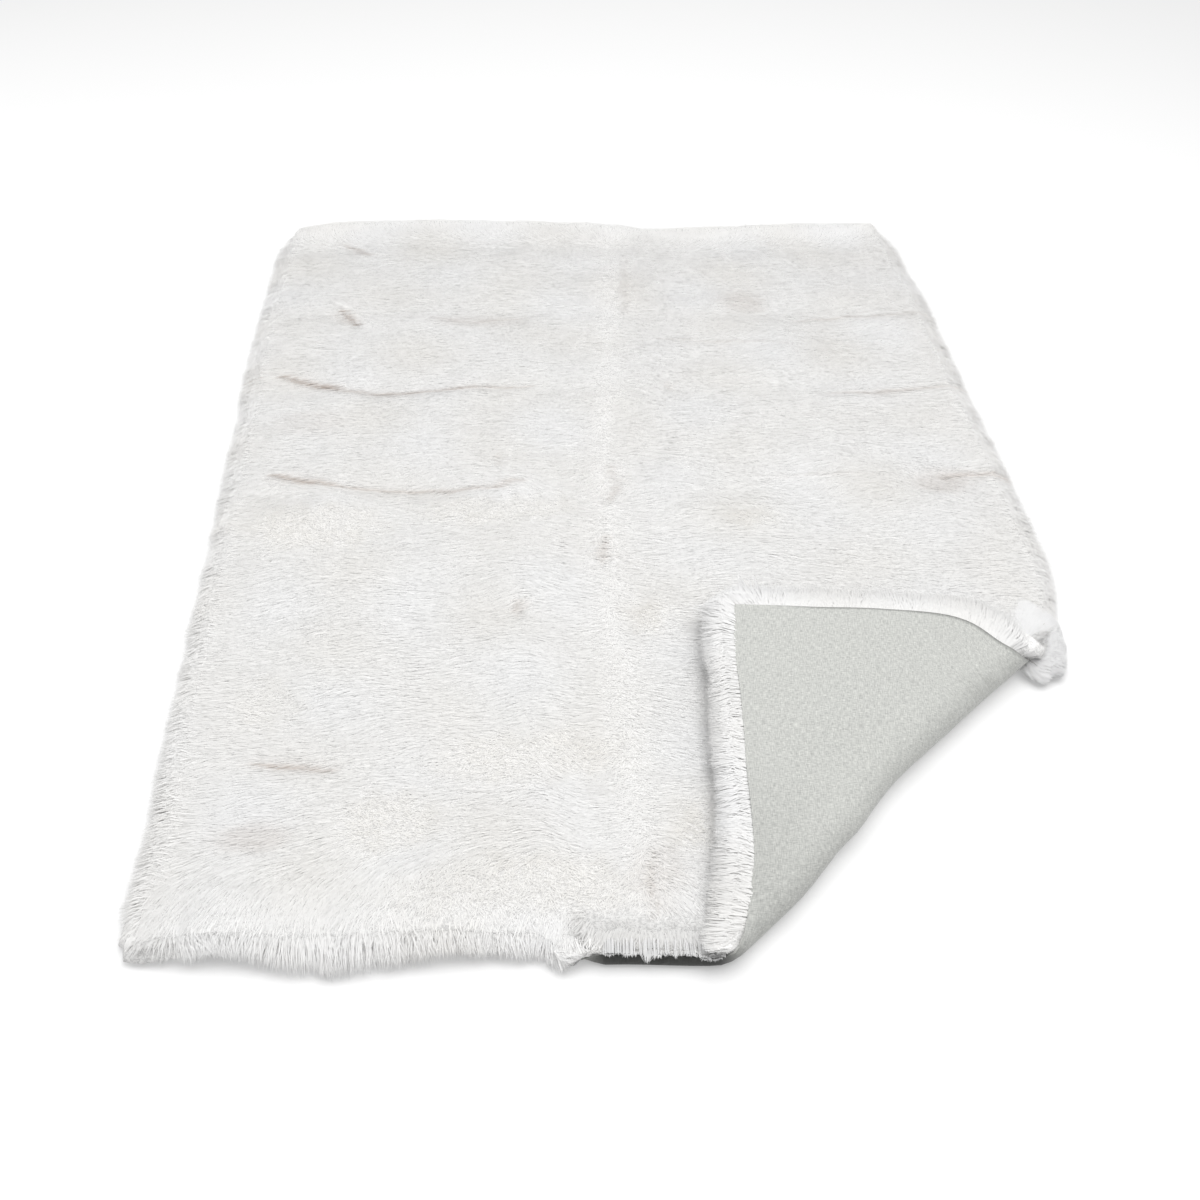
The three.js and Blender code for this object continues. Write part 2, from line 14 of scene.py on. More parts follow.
import bmesh
import bpy
import numpy as np
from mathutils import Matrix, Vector

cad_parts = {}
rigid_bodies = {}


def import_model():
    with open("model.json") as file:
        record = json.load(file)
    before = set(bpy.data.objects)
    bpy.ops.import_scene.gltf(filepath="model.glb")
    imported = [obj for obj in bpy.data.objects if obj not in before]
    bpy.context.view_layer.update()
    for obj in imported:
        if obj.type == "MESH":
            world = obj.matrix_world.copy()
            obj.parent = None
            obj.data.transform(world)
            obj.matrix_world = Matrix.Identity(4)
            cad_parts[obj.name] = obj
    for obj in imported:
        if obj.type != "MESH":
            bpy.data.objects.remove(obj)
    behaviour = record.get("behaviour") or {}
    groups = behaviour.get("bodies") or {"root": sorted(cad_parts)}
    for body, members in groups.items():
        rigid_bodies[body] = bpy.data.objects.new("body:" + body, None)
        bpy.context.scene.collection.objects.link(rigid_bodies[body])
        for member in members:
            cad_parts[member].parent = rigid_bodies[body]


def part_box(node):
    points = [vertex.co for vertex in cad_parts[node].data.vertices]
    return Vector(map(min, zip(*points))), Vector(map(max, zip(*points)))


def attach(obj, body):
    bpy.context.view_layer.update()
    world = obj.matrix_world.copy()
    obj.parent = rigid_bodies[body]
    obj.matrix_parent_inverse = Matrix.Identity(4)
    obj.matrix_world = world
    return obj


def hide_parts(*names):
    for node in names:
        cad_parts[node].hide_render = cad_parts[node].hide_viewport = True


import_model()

Array = np.ndarray
Table = tuple[tuple[float, float], ...]

log = logging.getLogger("blanket")
MM = 0.001
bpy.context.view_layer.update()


def linear(hex_colour: str) -> tuple[float, float, float, float]:
    """Turn an sRGB hex colour into linear light.

    Args:
        hex_colour: Six hex digits, such as "f4f1ea".

    Returns:
        Red, green, blue and an alpha of 1.
    """
    parts = [int(hex_colour[i : i + 2], 16) / 255 for i in (0, 2, 4)]
    red, green, blue = (c / 12.92 if c <= 0.04045 else ((c + 0.055) / 1.055) ** 2.4 for c in parts)
    return (red, green, blue, 1.0)


def smooth(low: float, high: float, value: Array) -> Array:
    """Ease from 0 at low to 1 at high."""
    t = np.clip((value - low) / (high - low), 0.0, 1.0)
    return t * t * (3.0 - 2.0 * t)


def eased(table: Table, value: Array) -> Array:
    """Read a table of (place, amount) rows, eased between its rows.

    Args:
        table: Rows in order of place.
        value: The places to read.

    Returns:
        The amount at each place.
    """
    places = np.array([row[0] for row in table])
    amounts = np.array([row[1] for row in table])
    after = np.clip(np.searchsorted(places, value), 1, len(places) - 1)
    t = np.clip((value - places[after - 1]) / (places[after] - places[after - 1]), 0.0, 1.0)
    return amounts[after - 1] + (amounts[after] - amounts[after - 1]) * t * t * (3.0 - 2.0 * t)


def waves(x: Array, y: Array, size: float, seed: int, count: int = 5) -> Array:
    """Soft seeded noise: a sum of waves in several directions, from about -1 to 1.

    Args:
        x: Places across, in mm.
        y: Places along, in mm.
        size: The typical distance between two lumps, in mm.
        seed: Which noise this is.
        count: How many waves are summed.

    Returns:
        The noise at each place.
    """
    rng = np.random.default_rng(seed)
    total = np.zeros(np.broadcast(x, y).shape)
    for _ in range(count):
        angle, phase, stretch = rng.uniform(0, 2 * math.pi), rng.uniform(0, 2 * math.pi), rng.uniform(0.7, 1.5)
        pitch = 2 * math.pi / (size * stretch)
        total += np.sin((x * math.cos(angle) + y * math.sin(angle)) * pitch + phase)
    return total / math.sqrt(count * 2.0)


def unit(vectors: Array) -> Array:
    """Scale vectors to length 1."""
    return vectors / np.maximum(np.linalg.norm(vectors, axis=-1, keepdims=True), 1e-9)


class Side(Enum):
    """The two columns of pelts."""

    LEFT = "left"
    RIGHT = "right"


@dataclass(frozen=True)
class FoldedCut:
    """The flat cut of the blanket and how it lies, with the sizes that the solids were built from, in mm."""

    half_width: float = 650.0
    half_length: float = 900.0
    lining_thickness: float = 1.6
    lining_gap: float = 1.3
    lining_inset: float = 2.0
    pile: float = 35.0
    rim_reach: float = 34.0
    floor_gap: float = 0.7
    fold_point: tuple[float, float] = (320.0, -700.0)
    fold_angle: float = math.radians(42.5)
    flap_rise: float = 12.0
    flap_rise_length: float = 130.0
    flap_corner: tuple[float, float] = (151.0, -362.0)
    flap_lean: tuple[float, float] = (0.068, 0.09)
    length_shift: float = 20.0
    fold_radius: Table = ((-300, 21), (-200, 25), (-90, 28), (60, 31), (220, 33), (400, 34))
    fold_bow: Table = ((-300, -12), (-200, -14), (-90, -4), (60, 10), (220, 6), (400, 0))
    crumple_pull: float = 80.0
    crumple_reach: float = 260.0
    crumple_centre: float = -35.0
    crumple_spread: float = 68.0
    left_edge: Table = ((-900, 4), (-740, -8), (-600, -2), (-200, 4), (150, 11), (400, 19), (700, 16), (900, 12))
    right_edge: Table = ((-900, 13), (-600, 12), (-250, 8), (0, 4), (300, -6), (600, -10), (720, -24), (900, -34))
    far_edge: Table = (
        (-650, 14), (-500, 30), (-370, 30), (-200, 18), (-80, 2), (20, -14), (120, -34), (350, -30), (650, -28),
    )
    near_edge: Table = (
        (-650, -10), (-400, -4), (-150, 4), (-50, 60), (90, 68), (180, 52), (250, 47), (400, 41), (530, 33),
        (650, 30),
    )
    near_lift: Table = (
        (-650, 0), (-600, 6), (-550, 15), (-480, 8), (-420, 2), (-330, 6), (-265, 13), (-200, 7), (-140, 0),
    )
    near_lift_depth: float = 110.0
    curl_grows: tuple[float, float] = (-125.0, -65.0)
    curl_fades: tuple[float, float] = (70.0, 125.0)
    curl_width: float = 31.0
    curl_radius: float = 10.0
    curl_turn: float = 2.1
    curl_rim_loss: float = 24.0
    middle_seam: Table = ((-900, -22), (-300, -30), (100, -20), (450, 25), (900, 48))
    row_seams: tuple[float, ...] = (-900, -622, -328, -26, 278, 538, 800, 900)
    seam_depths: tuple[tuple[float, float, float], ...] = (
        (12, 5, 5), (6, 5, 5), (17, 5, 9), (17, 6, 9), (11, 7, 10), (10, 6, 7),
    )
    seam_width: float = 30.0
    middle_seam_depth: float = 7.0
    corner_round: tuple[float, float, float, float] = (48.0, 40.0, 84.0, 74.0)
    puff_reach: float = 8.0
    puff_step: tuple[float, float, float] = (10.0, -12.0, -5.0)
    rim_pile: Table = ((0, 0.93), (0.5, 0.74), (1, 0.4))
    rim_flap: Table = ((0, 0), (0.5, 8), (1, 3))
    rim_puff: Table = ((0, 0), (0.5, 14), (1, 10))
    near_hang: Table = (
        (-690, 0.8), (-640, 0.75), (-590, 0.65), (-545, 0.45), (-505, 0.6), (-465, 0.85), (-390, 0.95),
        (-330, 0.85), (-290, 0.65), (-225, 0.5), (-170, 0.55), (-120, 0.55), (-80, 0.35), (0, 0.8),
    )

    @property
    def hide(self) -> float:
        """The height of the hide's underside over the lining's underside."""
        return self.lining_thickness + self.lining_gap

    def _round_corner(self, x: Array, y: Array) -> tuple[Array, Array]:
        """Press the cut's four square corners into round ones.

        Args:
            x: Places across the cut, in mm.
            y: Places along it.

        Returns:
            The places on the rounded cut.
        """
        near = np.where(x < 0, self.corner_round[0], self.corner_round[1])
        far = np.where(x < 0, self.corner_round[2], self.corner_round[3])
        radius = np.where(y < 0, near, far)
        a = (np.abs(x) - (self.half_width + self.rim_reach - radius)) / radius
        b = (np.abs(y) - (self.half_length + self.rim_reach - radius)) / radius
        corner = (a > 0) & (b > 0)
        shrink_x = np.where(corner, a * radius * (1 - np.sqrt(np.maximum(0, 1 - b * b / 2))), 0.0)
        shrink_y = np.where(corner, b * radius * (1 - np.sqrt(np.maximum(0, 1 - a * a / 2))), 0.0)
        return x - np.sign(x) * shrink_x, y - np.sign(y) * shrink_y

    def real_cut(self, across: Array, along: Array) -> tuple[Array, Array]:
        """Find points of the nominal cut on the real one, whose edges aren't straight.

        Args:
            across: Places across the cut, in mm.
            along: Places along it.

        Returns:
            Their places across and along the real cut.
        """
        x, y = self._round_corner(across, along)
        right = np.clip((x + self.half_width) / (2 * self.half_width), 0, 1)
        far = np.clip((y + self.half_length) / (2 * self.half_length), 0, 1)
        seam = eased(self.middle_seam, y) * (1 - np.abs(2 * right - 1))
        out_x = eased(self.right_edge, y) * right - eased(self.left_edge, y) * (1 - right)
        out_y = eased(self.far_edge, x) * far * far - eased(self.near_edge, x) * (1 - far) * (1 - far)
        return x + out_x + seam, y + self.length_shift + out_y

    def fold_frame(self, x: Array, y: Array) -> tuple[Array, Array]:
        """Measure real cut points from the fold.

        Args:
            x: Places across the real cut, in mm.
            y: Places along it.

        Returns:
            How far they are along the fold's line, and inward of it.
        """
        dx, dy = x - self.fold_point[0], y - self.fold_point[1]
        c, s = math.cos(self.fold_angle), math.sin(self.fold_angle)
        return dx * c + dy * s, -dx * s + dy * c

    def curl(self, x: Array) -> Array:
        """How much of the curl the near edge has at a place across the blanket."""
        return smooth(*self.curl_grows, x) * (1 - smooth(*self.curl_fades, x))

    def _near_border(self, x: Array, inside: Array) -> tuple[Array, Array]:
        """Lift and curl the near edge.

        Args:
            x: Places across the real cut, in mm.
            inside: How far they are inside the near edge.

        Returns:
            The edge's rise over the floor and its step inward.
        """
        lift = eased(self.near_lift, x) * (1 - smooth(0, self.near_lift_depth, inside)) ** 1.5
        bent = np.maximum(0, self.curl_width - inside)
        angle = np.minimum(bent / self.curl_radius, self.curl_turn) * self.curl(x)
        straight = bent - angle * self.curl_radius
        rise = lift + self.curl_radius * (1 - np.cos(angle)) + straight * np.sin(angle)
        return rise, bent - self.curl_radius * np.sin(angle) - straight * np.cos(angle)

    def surface(self, across: Array, along: Array) -> Array:
        """Lay points of the cut out as the blanket lies folded.

        Args:
            across: Places across the cut, in mm.
            along: Places along it.

        Returns:
            Their places on the lining's underside, in mm.
        """
        x, y = self.real_cut(across, along)
        along_fold, inward = self.fold_frame(x, y)
        c, s = math.cos(self.fold_angle), math.sin(self.fold_angle)
        near = 1 - smooth(0, self.crumple_reach, (self.half_width - across) / c)
        off = (inward - self.crumple_centre) / self.crumple_spread
        pulled = along_fold - self.crumple_pull * near * np.exp(-off * off)
        radius = eased(self.fold_radius, pulled)
        start = radius + eased(self.fold_bow, pulled)
        past = start - inward
        turn = np.clip(past / radius, 0, math.pi)
        flap = np.maximum(0, past - math.pi * radius)
        level = np.where(past < 0, inward, start - radius * np.sin(turn) + flap)
        height = radius * (1 - np.cos(turn)) + self.flap_rise * smooth(0, self.flap_rise_length, flap)
        rise, step = self._near_border(x, along + self.half_length)
        ground = 1 - turn / math.pi
        return np.stack(
            [
                self.fold_point[0] + pulled * c - level * s,
                self.fold_point[1] + pulled * s + level * c + step * ground,
                height + rise * ground,
            ],
            axis=-1,
        )

    def turned(self, across: Array, along: Array) -> tuple[Array, Array]:
        """Say where points are in the fold's bend.

        Args:
            across: Places across the cut, in mm.
            along: Places along it.

        Returns:
            The bend's radius there, and how far round it they are: 0 on the ground side and 1 on the flap.
        """
        along_fold, inward = self.fold_frame(*self.real_cut(across, along))
        radius = eased(self.fold_radius, along_fold)
        return radius, (radius + eased(self.fold_bow, along_fold) - inward) / (math.pi * radius)

    def furward(self, across: Array, along: Array) -> Array:
        """Find the way from the lining towards the fur. Past the hide's edge it is the edge's own.

        Args:
            across: Places across the cut, in mm.
            along: Places along it.

        Returns:
            A unit direction for each point.
        """
        x = np.clip(across, 2 - self.half_width, self.half_width - 2)
        y = np.clip(along, 2 - self.half_length, self.half_length - 2)
        step = 0.5
        dx = self.surface(x + step, y) - self.surface(x - step, y)
        dy = self.surface(x, y + step) - self.surface(x, y - step)
        return unit(np.cross(dx, dy))

    def layer(self, across: Array, along: Array, height: Array) -> Array:
        """The place of points at a height over the lining's underside, in mm."""
        return self.surface(across, along) + self.furward(across, along) * np.asarray(height)[..., None]

    def valleys(self, across: Array, along: Array) -> tuple[Array, Array]:
        """Find the valleys over the seams.

        Args:
            across: Places across the cut, in mm.
            along: Places along it.

        Returns:
            How deep the fur lies over the seams between the rows, and over the middle seam.
        """
        outward = np.minimum(1, np.abs(across) / self.half_width)
        rows = np.zeros(across.shape)
        for seam, (left, middle, right) in zip(self.row_seams[1:], self.seam_depths):
            depth = middle + (np.where(across < 0, left, right) - middle) * outward
            rows = rows + depth * np.exp(-(((along - seam) / self.seam_width) ** 2))
        return rows, self.middle_seam_depth * np.exp(-((across / self.seam_width) ** 2))

    def pile_height(self, across: Array, along: Array) -> Array:
        """Find the height of the pile, before the rim rounds it off.

        Args:
            across: Places across the cut, in mm.
            along: Places along it.

        Returns:
            The height over the hide, in mm.
        """
        lumps = 1 + 0.05 * np.sin(across / 83 + along / 190 + 1.3) * np.cos(along / 61)
        height = self.pile * (lumps + 0.04 * np.sin(across / 41 - along / 57))
        height = height - sum(self.valleys(across, along))
        radius, turned = self.turned(across, along)
        covered = smooth(-75, 10, self.under_flap(across, along))
        near_bend = 1 - smooth(0.2, 1.1, np.abs(turned - 0.5) * math.pi * radius / self.flap_rise_length)
        pressed = radius + self.flap_rise / 2 - 4.5 - (self.flap_rise / 2 + 1.5) * near_bend
        pressed = pressed - 2 * self.puff(across, along)
        press = np.where(turned > 0.5, 1.0, covered)
        height = height + (np.minimum(height, pressed) - height) * press
        room = 4 + 31 * smooth(self.curl_width, 75, along + self.half_length)
        curled = self.curl(self.real_cut(across, along)[0])
        return height + (np.minimum(height, room) - height) * smooth(0, 0.45, curled)

    def puff(self, across: Array, along: Array) -> Array:
        """Say how much of the bulge at the fold's right end points have.

        Args:
            across: Places across the cut, in mm.
            along: Places along it.

        Returns:
            The share, from 0 to 1.
        """
        inward = self.fold_frame(*self.real_cut(across, along))[1]
        off = (inward - self.crumple_centre) / (self.crumple_spread * 0.8)
        bent = smooth(0.1, 0.45, self.turned(across, along)[1])
        share = np.exp(-off * off) * smooth(-700, -500, along) * bent
        return np.where((across > 0) & (along < 0), share, 0.0)

    def reach(self, across: Array, along: Array) -> Array:
        """Say how far the rim of the fur reaches past the hide, at points of the edge.

        Args:
            across: Places across the cut, in mm.
            along: Places along it.

        Returns:
            The reach, in mm.
        """
        near = along <= 1 - self.half_length
        curled = self.curl(self.real_cut(across, along)[0]) * near
        hang = 1 + (eased(self.near_hang, across) - 1) * near * (1 - smooth(0.1, 0.4, self.turned(across, along)[1]))
        return hang * self.rim_reach + self.puff_reach * self.puff(across, along) - self.curl_rim_loss * curled

    def fur_layer(self, across: Array, along: Array, share: Array) -> tuple[Array, Array]:
        """Find the underside and the top of the fur.

        Args:
            across: Places across the cut, in mm.
            along: Places along it.
            share: How far out in the rim each point is, from 0 to 1.

        Returns:
            Both heights over the lining's underside, in mm.
        """
        on_flap = smooth(0.55, 1.1, self.turned(across, along)[1])
        at_near = 1 - smooth(0, 60, along + self.half_length)
        bulge = eased(self.rim_flap, share) * on_flap * (0.1 + 0.9 * at_near)
        bulge = bulge + eased(self.rim_puff, share) * self.puff(across, along)
        curled = self.curl(self.real_cut(across, along)[0]) * (along < 1 - self.half_length)
        low = self.hide - (self.hide - self.floor_gap) * smooth(0, 0.5, share) * (1 - curled) - bulge
        high = self.hide + self.pile_height(across, along) * eased(self.rim_pile, share)
        return low, high

    def under_flap(self, across: Array, along: Array) -> Array:
        """Say how far under the flap points on the ground are.

        Args:
            across: Places across the cut, in mm.
            along: Places along it.

        Returns:
            The distance in mm. It is negative in the open.
        """
        x, y = self.real_cut(across, along)
        corner_x, corner_y = self.flap_corner
        lean_left, lean_top = self.flap_lean
        return np.minimum(x - corner_x - lean_left * (y - corner_y), corner_y - lean_top * (x - corner_x) - y)


CUT = FoldedCut()


def frame_shift(cut: FoldedCut) -> Array:
    """Where the cut's own origin lies in the frame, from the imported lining's left and far edges.

    Args:
        cut: The blanket's cut.

    Returns:
        The shift in mm, to add to every point of the cut's surface.
    """
    low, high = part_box("lining")
    border = [cut.lining_inset, 8, 16, 24]
    rows = [np.linspace(a, b, n + 1) for a, b, n in zip(cut.row_seams[:3], cut.row_seams[1:4], (5, 5, 5))]
    ys = np.concatenate([np.array(border) - cut.half_length, *rows, cut.row_seams[4:-1]])
    left = cut.surface(np.full(len(ys), cut.lining_inset - cut.half_width), ys)
    xs = np.linspace(-cut.half_width, cut.half_width, 23)
    far = cut.surface(xs, np.full(len(xs), cut.half_length - cut.lining_inset))
    return np.array([low.x / MM - left[:, 0].min(), high.y / MM - far[:, 1].max(), 0.0])


SHIFT = frame_shift(CUT)


def placed(points: Array) -> Array:
    """Turn points of the cut's surface, in mm, into metres in the frame."""
    return (points + SHIFT) * MM


# Finishes

MULTIPLY = {"data_type": "RGBA", "blend_type": "MULTIPLY"}


def add_node(tree: bpy.types.NodeTree, kind: str, links: dict | None = None, **settings: object) -> bpy.types.Node:
    """Add a node with its settings, input values and links.

    Args:
        tree: The material's or world's node tree.
        kind: The node's type, such as "ShaderNodeTexNoise".
        links: Input name or number to a value, or to the output socket that feeds it.
        settings: The node's own properties.

    Returns:
        The new node.
    """
    node = tree.nodes.new(kind)
    for key, value in settings.items():
        setattr(node, key, value)
    for key, value in (links or {}).items():
        if isinstance(value, bpy.types.NodeSocket):
            tree.links.new(value, node.inputs[key])
        else:
            node.inputs[key].default_value = value
    return node


def new_material(
    name: str, sockets: dict[str, object]
) -> tuple[bpy.types.Material, bpy.types.NodeTree, bpy.types.Node]:
    """Make a node material with a Principled shader alone.

    Args:
        name: The material's name.
        sockets: The shader's own constant values.

    Returns:
        The material, its node tree and the shader.
    """
    material = bpy.data.materials.new(name)
    material.use_nodes = True
    tree = material.node_tree
    tree.nodes.clear()
    shader = add_node(tree, "ShaderNodeBsdfPrincipled", sockets)
    add_node(tree, "ShaderNodeOutputMaterial", {"Surface": shader.outputs["BSDF"]})
    return material, tree, shader


@dataclass(frozen=True)
class GuardHair:
    """Fox guard hair: straight, glossy and nearly white. Light passes into each lock, so that those under it
    stay bright and the coat looks soft."""

    roughness: float = 0.6
    sheen: float = 0.08
    translucency: float = 0.3
    streak_mm: float = 9.0

    def make(self) -> bpy.types.Material:
        """Build the material. Each lock's own colour comes with its mesh."""
        sockets = {"Roughness": self.roughness, "Specular IOR Level": 0.2, "Sheen Weight": self.sheen}
        material, tree, shader = new_material("fox_guard_hair", sockets)
        place = add_node(tree, "ShaderNodeTexCoord").outputs["Object"]
        tint = add_node(tree, "ShaderNodeVertexColor", layer_name="fur_tint").outputs["Color"]
        noise = {"Vector": place, "Scale": 1000 / self.streak_mm, "Detail": 2.0}
        streak = add_node(tree, "ShaderNodeTexNoise", noise).outputs["Fac"]
        ramp = {"Value": streak, "From Min": 0.3, "From Max": 0.7, "To Min": 0.985, "To Max": 1.0}
        shade = add_node(tree, "ShaderNodeMapRange", ramp).outputs["Result"]
        colour = add_node(tree, "ShaderNodeMix", {0: 1.0, "A": tint, "B": shade}, **MULTIPLY).outputs["Result"]
        tree.links.new(colour, shader.inputs["Base Color"])
        through = add_node(tree, "ShaderNodeBsdfTranslucent", {"Color": colour}).outputs["BSDF"]
        both = {0: self.translucency, 1: shader.outputs["BSDF"], 2: through}
        hair = add_node(tree, "ShaderNodeMixShader", both).outputs["Shader"]
        tree.links.new(hair, tree.get_output_node("ALL").inputs["Surface"])
        return material


@dataclass(frozen=True)
class Underfur:
    """Dense woolly underfur: matt and cream, in fine crimped curls. Its colour is painted darker as a whole, as
    painted shade from the guard hair over it.
    """

    curl_mm: float = 5.0
    roughness: float = 0.95

    def make(self) -> bpy.types.Material:
        """Build the material. The colour of each place comes with its mesh."""
        sockets = {"Roughness": self.roughness, "Specular IOR Level": 0.1, "Sheen Weight": 0.1}
        material, tree, shader = new_material("fox_underfur", sockets)
        place = add_node(tree, "ShaderNodeTexCoord").outputs["Object"]
        tint = add_node(tree, "ShaderNodeVertexColor", layer_name="fur_tint").outputs["Color"]
        noise = {"Vector": place, "Scale": 1000 / self.curl_mm, "Detail": 4.0, "Distortion": 1.5}
        curls = add_node(tree, "ShaderNodeTexNoise", noise).outputs["Fac"]
        # Painted shade: the underfur is darkened as a whole to 0.6 to 0.8 of its tint, for the shade of the guard
        # hair over it; the spread between the curls is their own tone.
        ramp = {"Value": curls, "From Min": 0.38, "From Max": 0.55, "To Min": 0.6, "To Max": 0.8}
        shade = add_node(tree, "ShaderNodeMapRange", ramp).outputs["Result"]
        colour = add_node(tree, "ShaderNodeMix", {0: 1.0, "A": tint, "B": shade}, **MULTIPLY)
        bump = add_node(tree, "ShaderNodeBump", {"Height": curls, "Strength": 0.8, "Distance": 3 * MM})
        tree.links.new(colour.outputs["Result"], shader.inputs["Base Color"])
        tree.links.new(bump.outputs["Normal"], shader.inputs["Normal"])
        return material


@dataclass(frozen=True)
class MelangeWool:
    """Woven wool cloth of mixed light and dark grey fibres. Its threads are drawn at 1.2 mm, a little coarser
    than real, so that they show. Fine soft wrinkles run square to the fold."""

    light: str = "cecfca"
    dark: str = "919290"
    thread_mm: float = 1.2
    slub_mm: float = 8.0
    wrinkle_mm: float = 22.0
    wrinkle_length_mm: float = 110.0
    roughness: float = 0.9

    def _drawn_noise(
        self, tree: bpy.types.NodeTree, place: bpy.types.NodeSocket, sizes: tuple[float, float], **noise: float
    ) -> bpy.types.NodeSocket:
        """Noise drawn out along one direction.

        Args:
            tree: The material's node tree.
            place: The coordinates, in metres.
            sizes: The noise's size in each direction, in mm.
            noise: The noise's own inputs.

        Returns:
            The noise.
        """
        scale = (1000 / sizes[0], 1000 / sizes[1], 1.0)
        drawn = add_node(tree, "ShaderNodeMapping", {"Vector": place, "Scale": scale}).outputs["Vector"]
        return add_node(tree, "ShaderNodeTexNoise", {"Vector": drawn, "Scale": 1.0} | noise).outputs["Fac"]

    def make(self) -> bpy.types.Material:
        """Build the material on the cloth's own flat cut."""
        sockets = {"Roughness": self.roughness, "Specular IOR Level": 0.2, "Sheen Weight": 0.2}
        material, tree, shader = new_material("woven_melange_wool", sockets)
        cut = add_node(tree, "ShaderNodeUVMap", uv_map="cut").outputs["UV"]
        weft = self._drawn_noise(tree, cut, (self.slub_mm, self.thread_mm), Detail=2.0)
        warp = self._drawn_noise(tree, cut, (self.thread_mm, self.slub_mm), Detail=2.0)
        both = add_node(tree, "ShaderNodeMath", {0: weft, 1: warp}, operation="ADD").outputs["Value"]
        ramp = {"Value": both, "From Min": 0.58, "From Max": 1.42, "To Min": 0.0, "To Max": 1.0}
        mixed = add_node(tree, "ShaderNodeMapRange", ramp).outputs["Result"]
        fibres = {0: mixed, "A": linear(self.dark), "B": linear(self.light)}
        melange = add_node(tree, "ShaderNodeMix", fibres, data_type="RGBA").outputs["Result"]
        shade = add_node(tree, "ShaderNodeVertexColor", layer_name="cloth_shade").outputs["Color"]
        colour = add_node(tree, "ShaderNodeMix", {0: 1.0, "A": melange, "B": shade}, **MULTIPLY)
        turn = {"Vector": cut, "Rotation": (0.0, 0.0, -CUT.fold_angle)}
        turned = add_node(tree, "ShaderNodeMapping", turn).outputs["Vector"]
        sizes = (self.wrinkle_mm, self.wrinkle_length_mm)
        folds = self._drawn_noise(tree, turned, sizes, Detail=1.0, Distortion=0.6)
        wrinkles = add_node(tree, "ShaderNodeBump", {"Height": folds, "Distance": 4 * MM}).outputs["Normal"]
        weave = {"Height": both, "Strength": 0.5, "Distance": 0.6 * MM, "Normal": wrinkles}
        tree.links.new(colour.outputs["Result"], shader.inputs["Base Color"])
        tree.links.new(add_node(tree, "ShaderNodeBump", weave).outputs["Normal"], shader.inputs["Normal"])
        return material


@dataclass(frozen=True)
class StudioFloor:
    """A plain matt pale floor that is lit from inside a little, so that it stays white beside white fur."""

    colour: str = "cccccc"
    glow: float = 0.28

    def make(self) -> bpy.types.Material:
        """Build the material."""
        sockets = {"Base Color": linear(self.colour), "Roughness": 0.9, "Specular IOR Level": 0.0}
        sockets |= {"Emission Color": linear("ffffff"), "Emission Strength": self.glow}
        return new_material("studio_floor", sockets)[0]


# The colours of the fur: its tips, its cream parts, its roots, and the brown at the bottom of the deepest partings,
# which is partly stain and partly painted shade

WHITE = np.array(linear("f7f7f7")[:3])
CREAM = np.array(linear("f2f0ec")[:3])
ROOT = np.array(linear("edecea")[:3])
BROWN = np.array(linear("a68c76")[:3])


@dataclass(frozen=True)
class Crease:
    """A line where the hair parts, in metres from the blanket's middle: a narrow parting in a wider valley."""

    line: tuple[tuple[float, float], ...]
    depth: float
    # How brown the parting's bottom is painted: partly stain, partly painted shade.
    brown: float = 0.0
    width: float = 3.5
    valley: float = 16.0

    def nearest(self, x: Array, y: Array) -> Array:
        """Measure how far points are from the line. They count as further off towards its ends.

        Args:
            x: Places across the real cut, in mm.
            y: Places along it.

        Returns:
            The distances in mm.
        """
        lengths = [math.dist(a, b) for a, b in zip(self.line, self.line[1:])]
        total, done = sum(lengths), 0.0
        nearest = np.full(x.shape, 1e9)
        for (ax, ay), (bx, by), length in zip(self.line, self.line[1:], lengths):
            ax, ay, bx, by = ax / MM, ay / MM, bx / MM, by / MM
            t = np.clip(((x - ax) * (bx - ax) + (y - ay) * (by - ay)) / (length / MM) ** 2, 0, 1)
            run = (done + t * length) / total
            thin = 1 + 1.2 * np.abs(2 * run - 1) ** 3
            nearest = np.minimum(nearest, np.hypot(x - ax - t * (bx - ax), y - ay - t * (by - ay)) * thin)
            done += length
        return nearest


@dataclass(frozen=True)
class Patch:
    """A round place with its own look, in metres from the blanket's middle."""

    at: tuple[float, float]
    size: tuple[float, float]
    amount: float = 1.0

    def share(self, x: Array, y: Array) -> Array:
        """How far inside the patch real cut points are, from 0 to 1."""
        off = np.hypot((x - self.at[0] / MM) / (self.size[0] / MM), (y - self.at[1] / MM) / (self.size[1] / MM))
        return self.amount * (1 - smooth(0.45, 1.3, off))


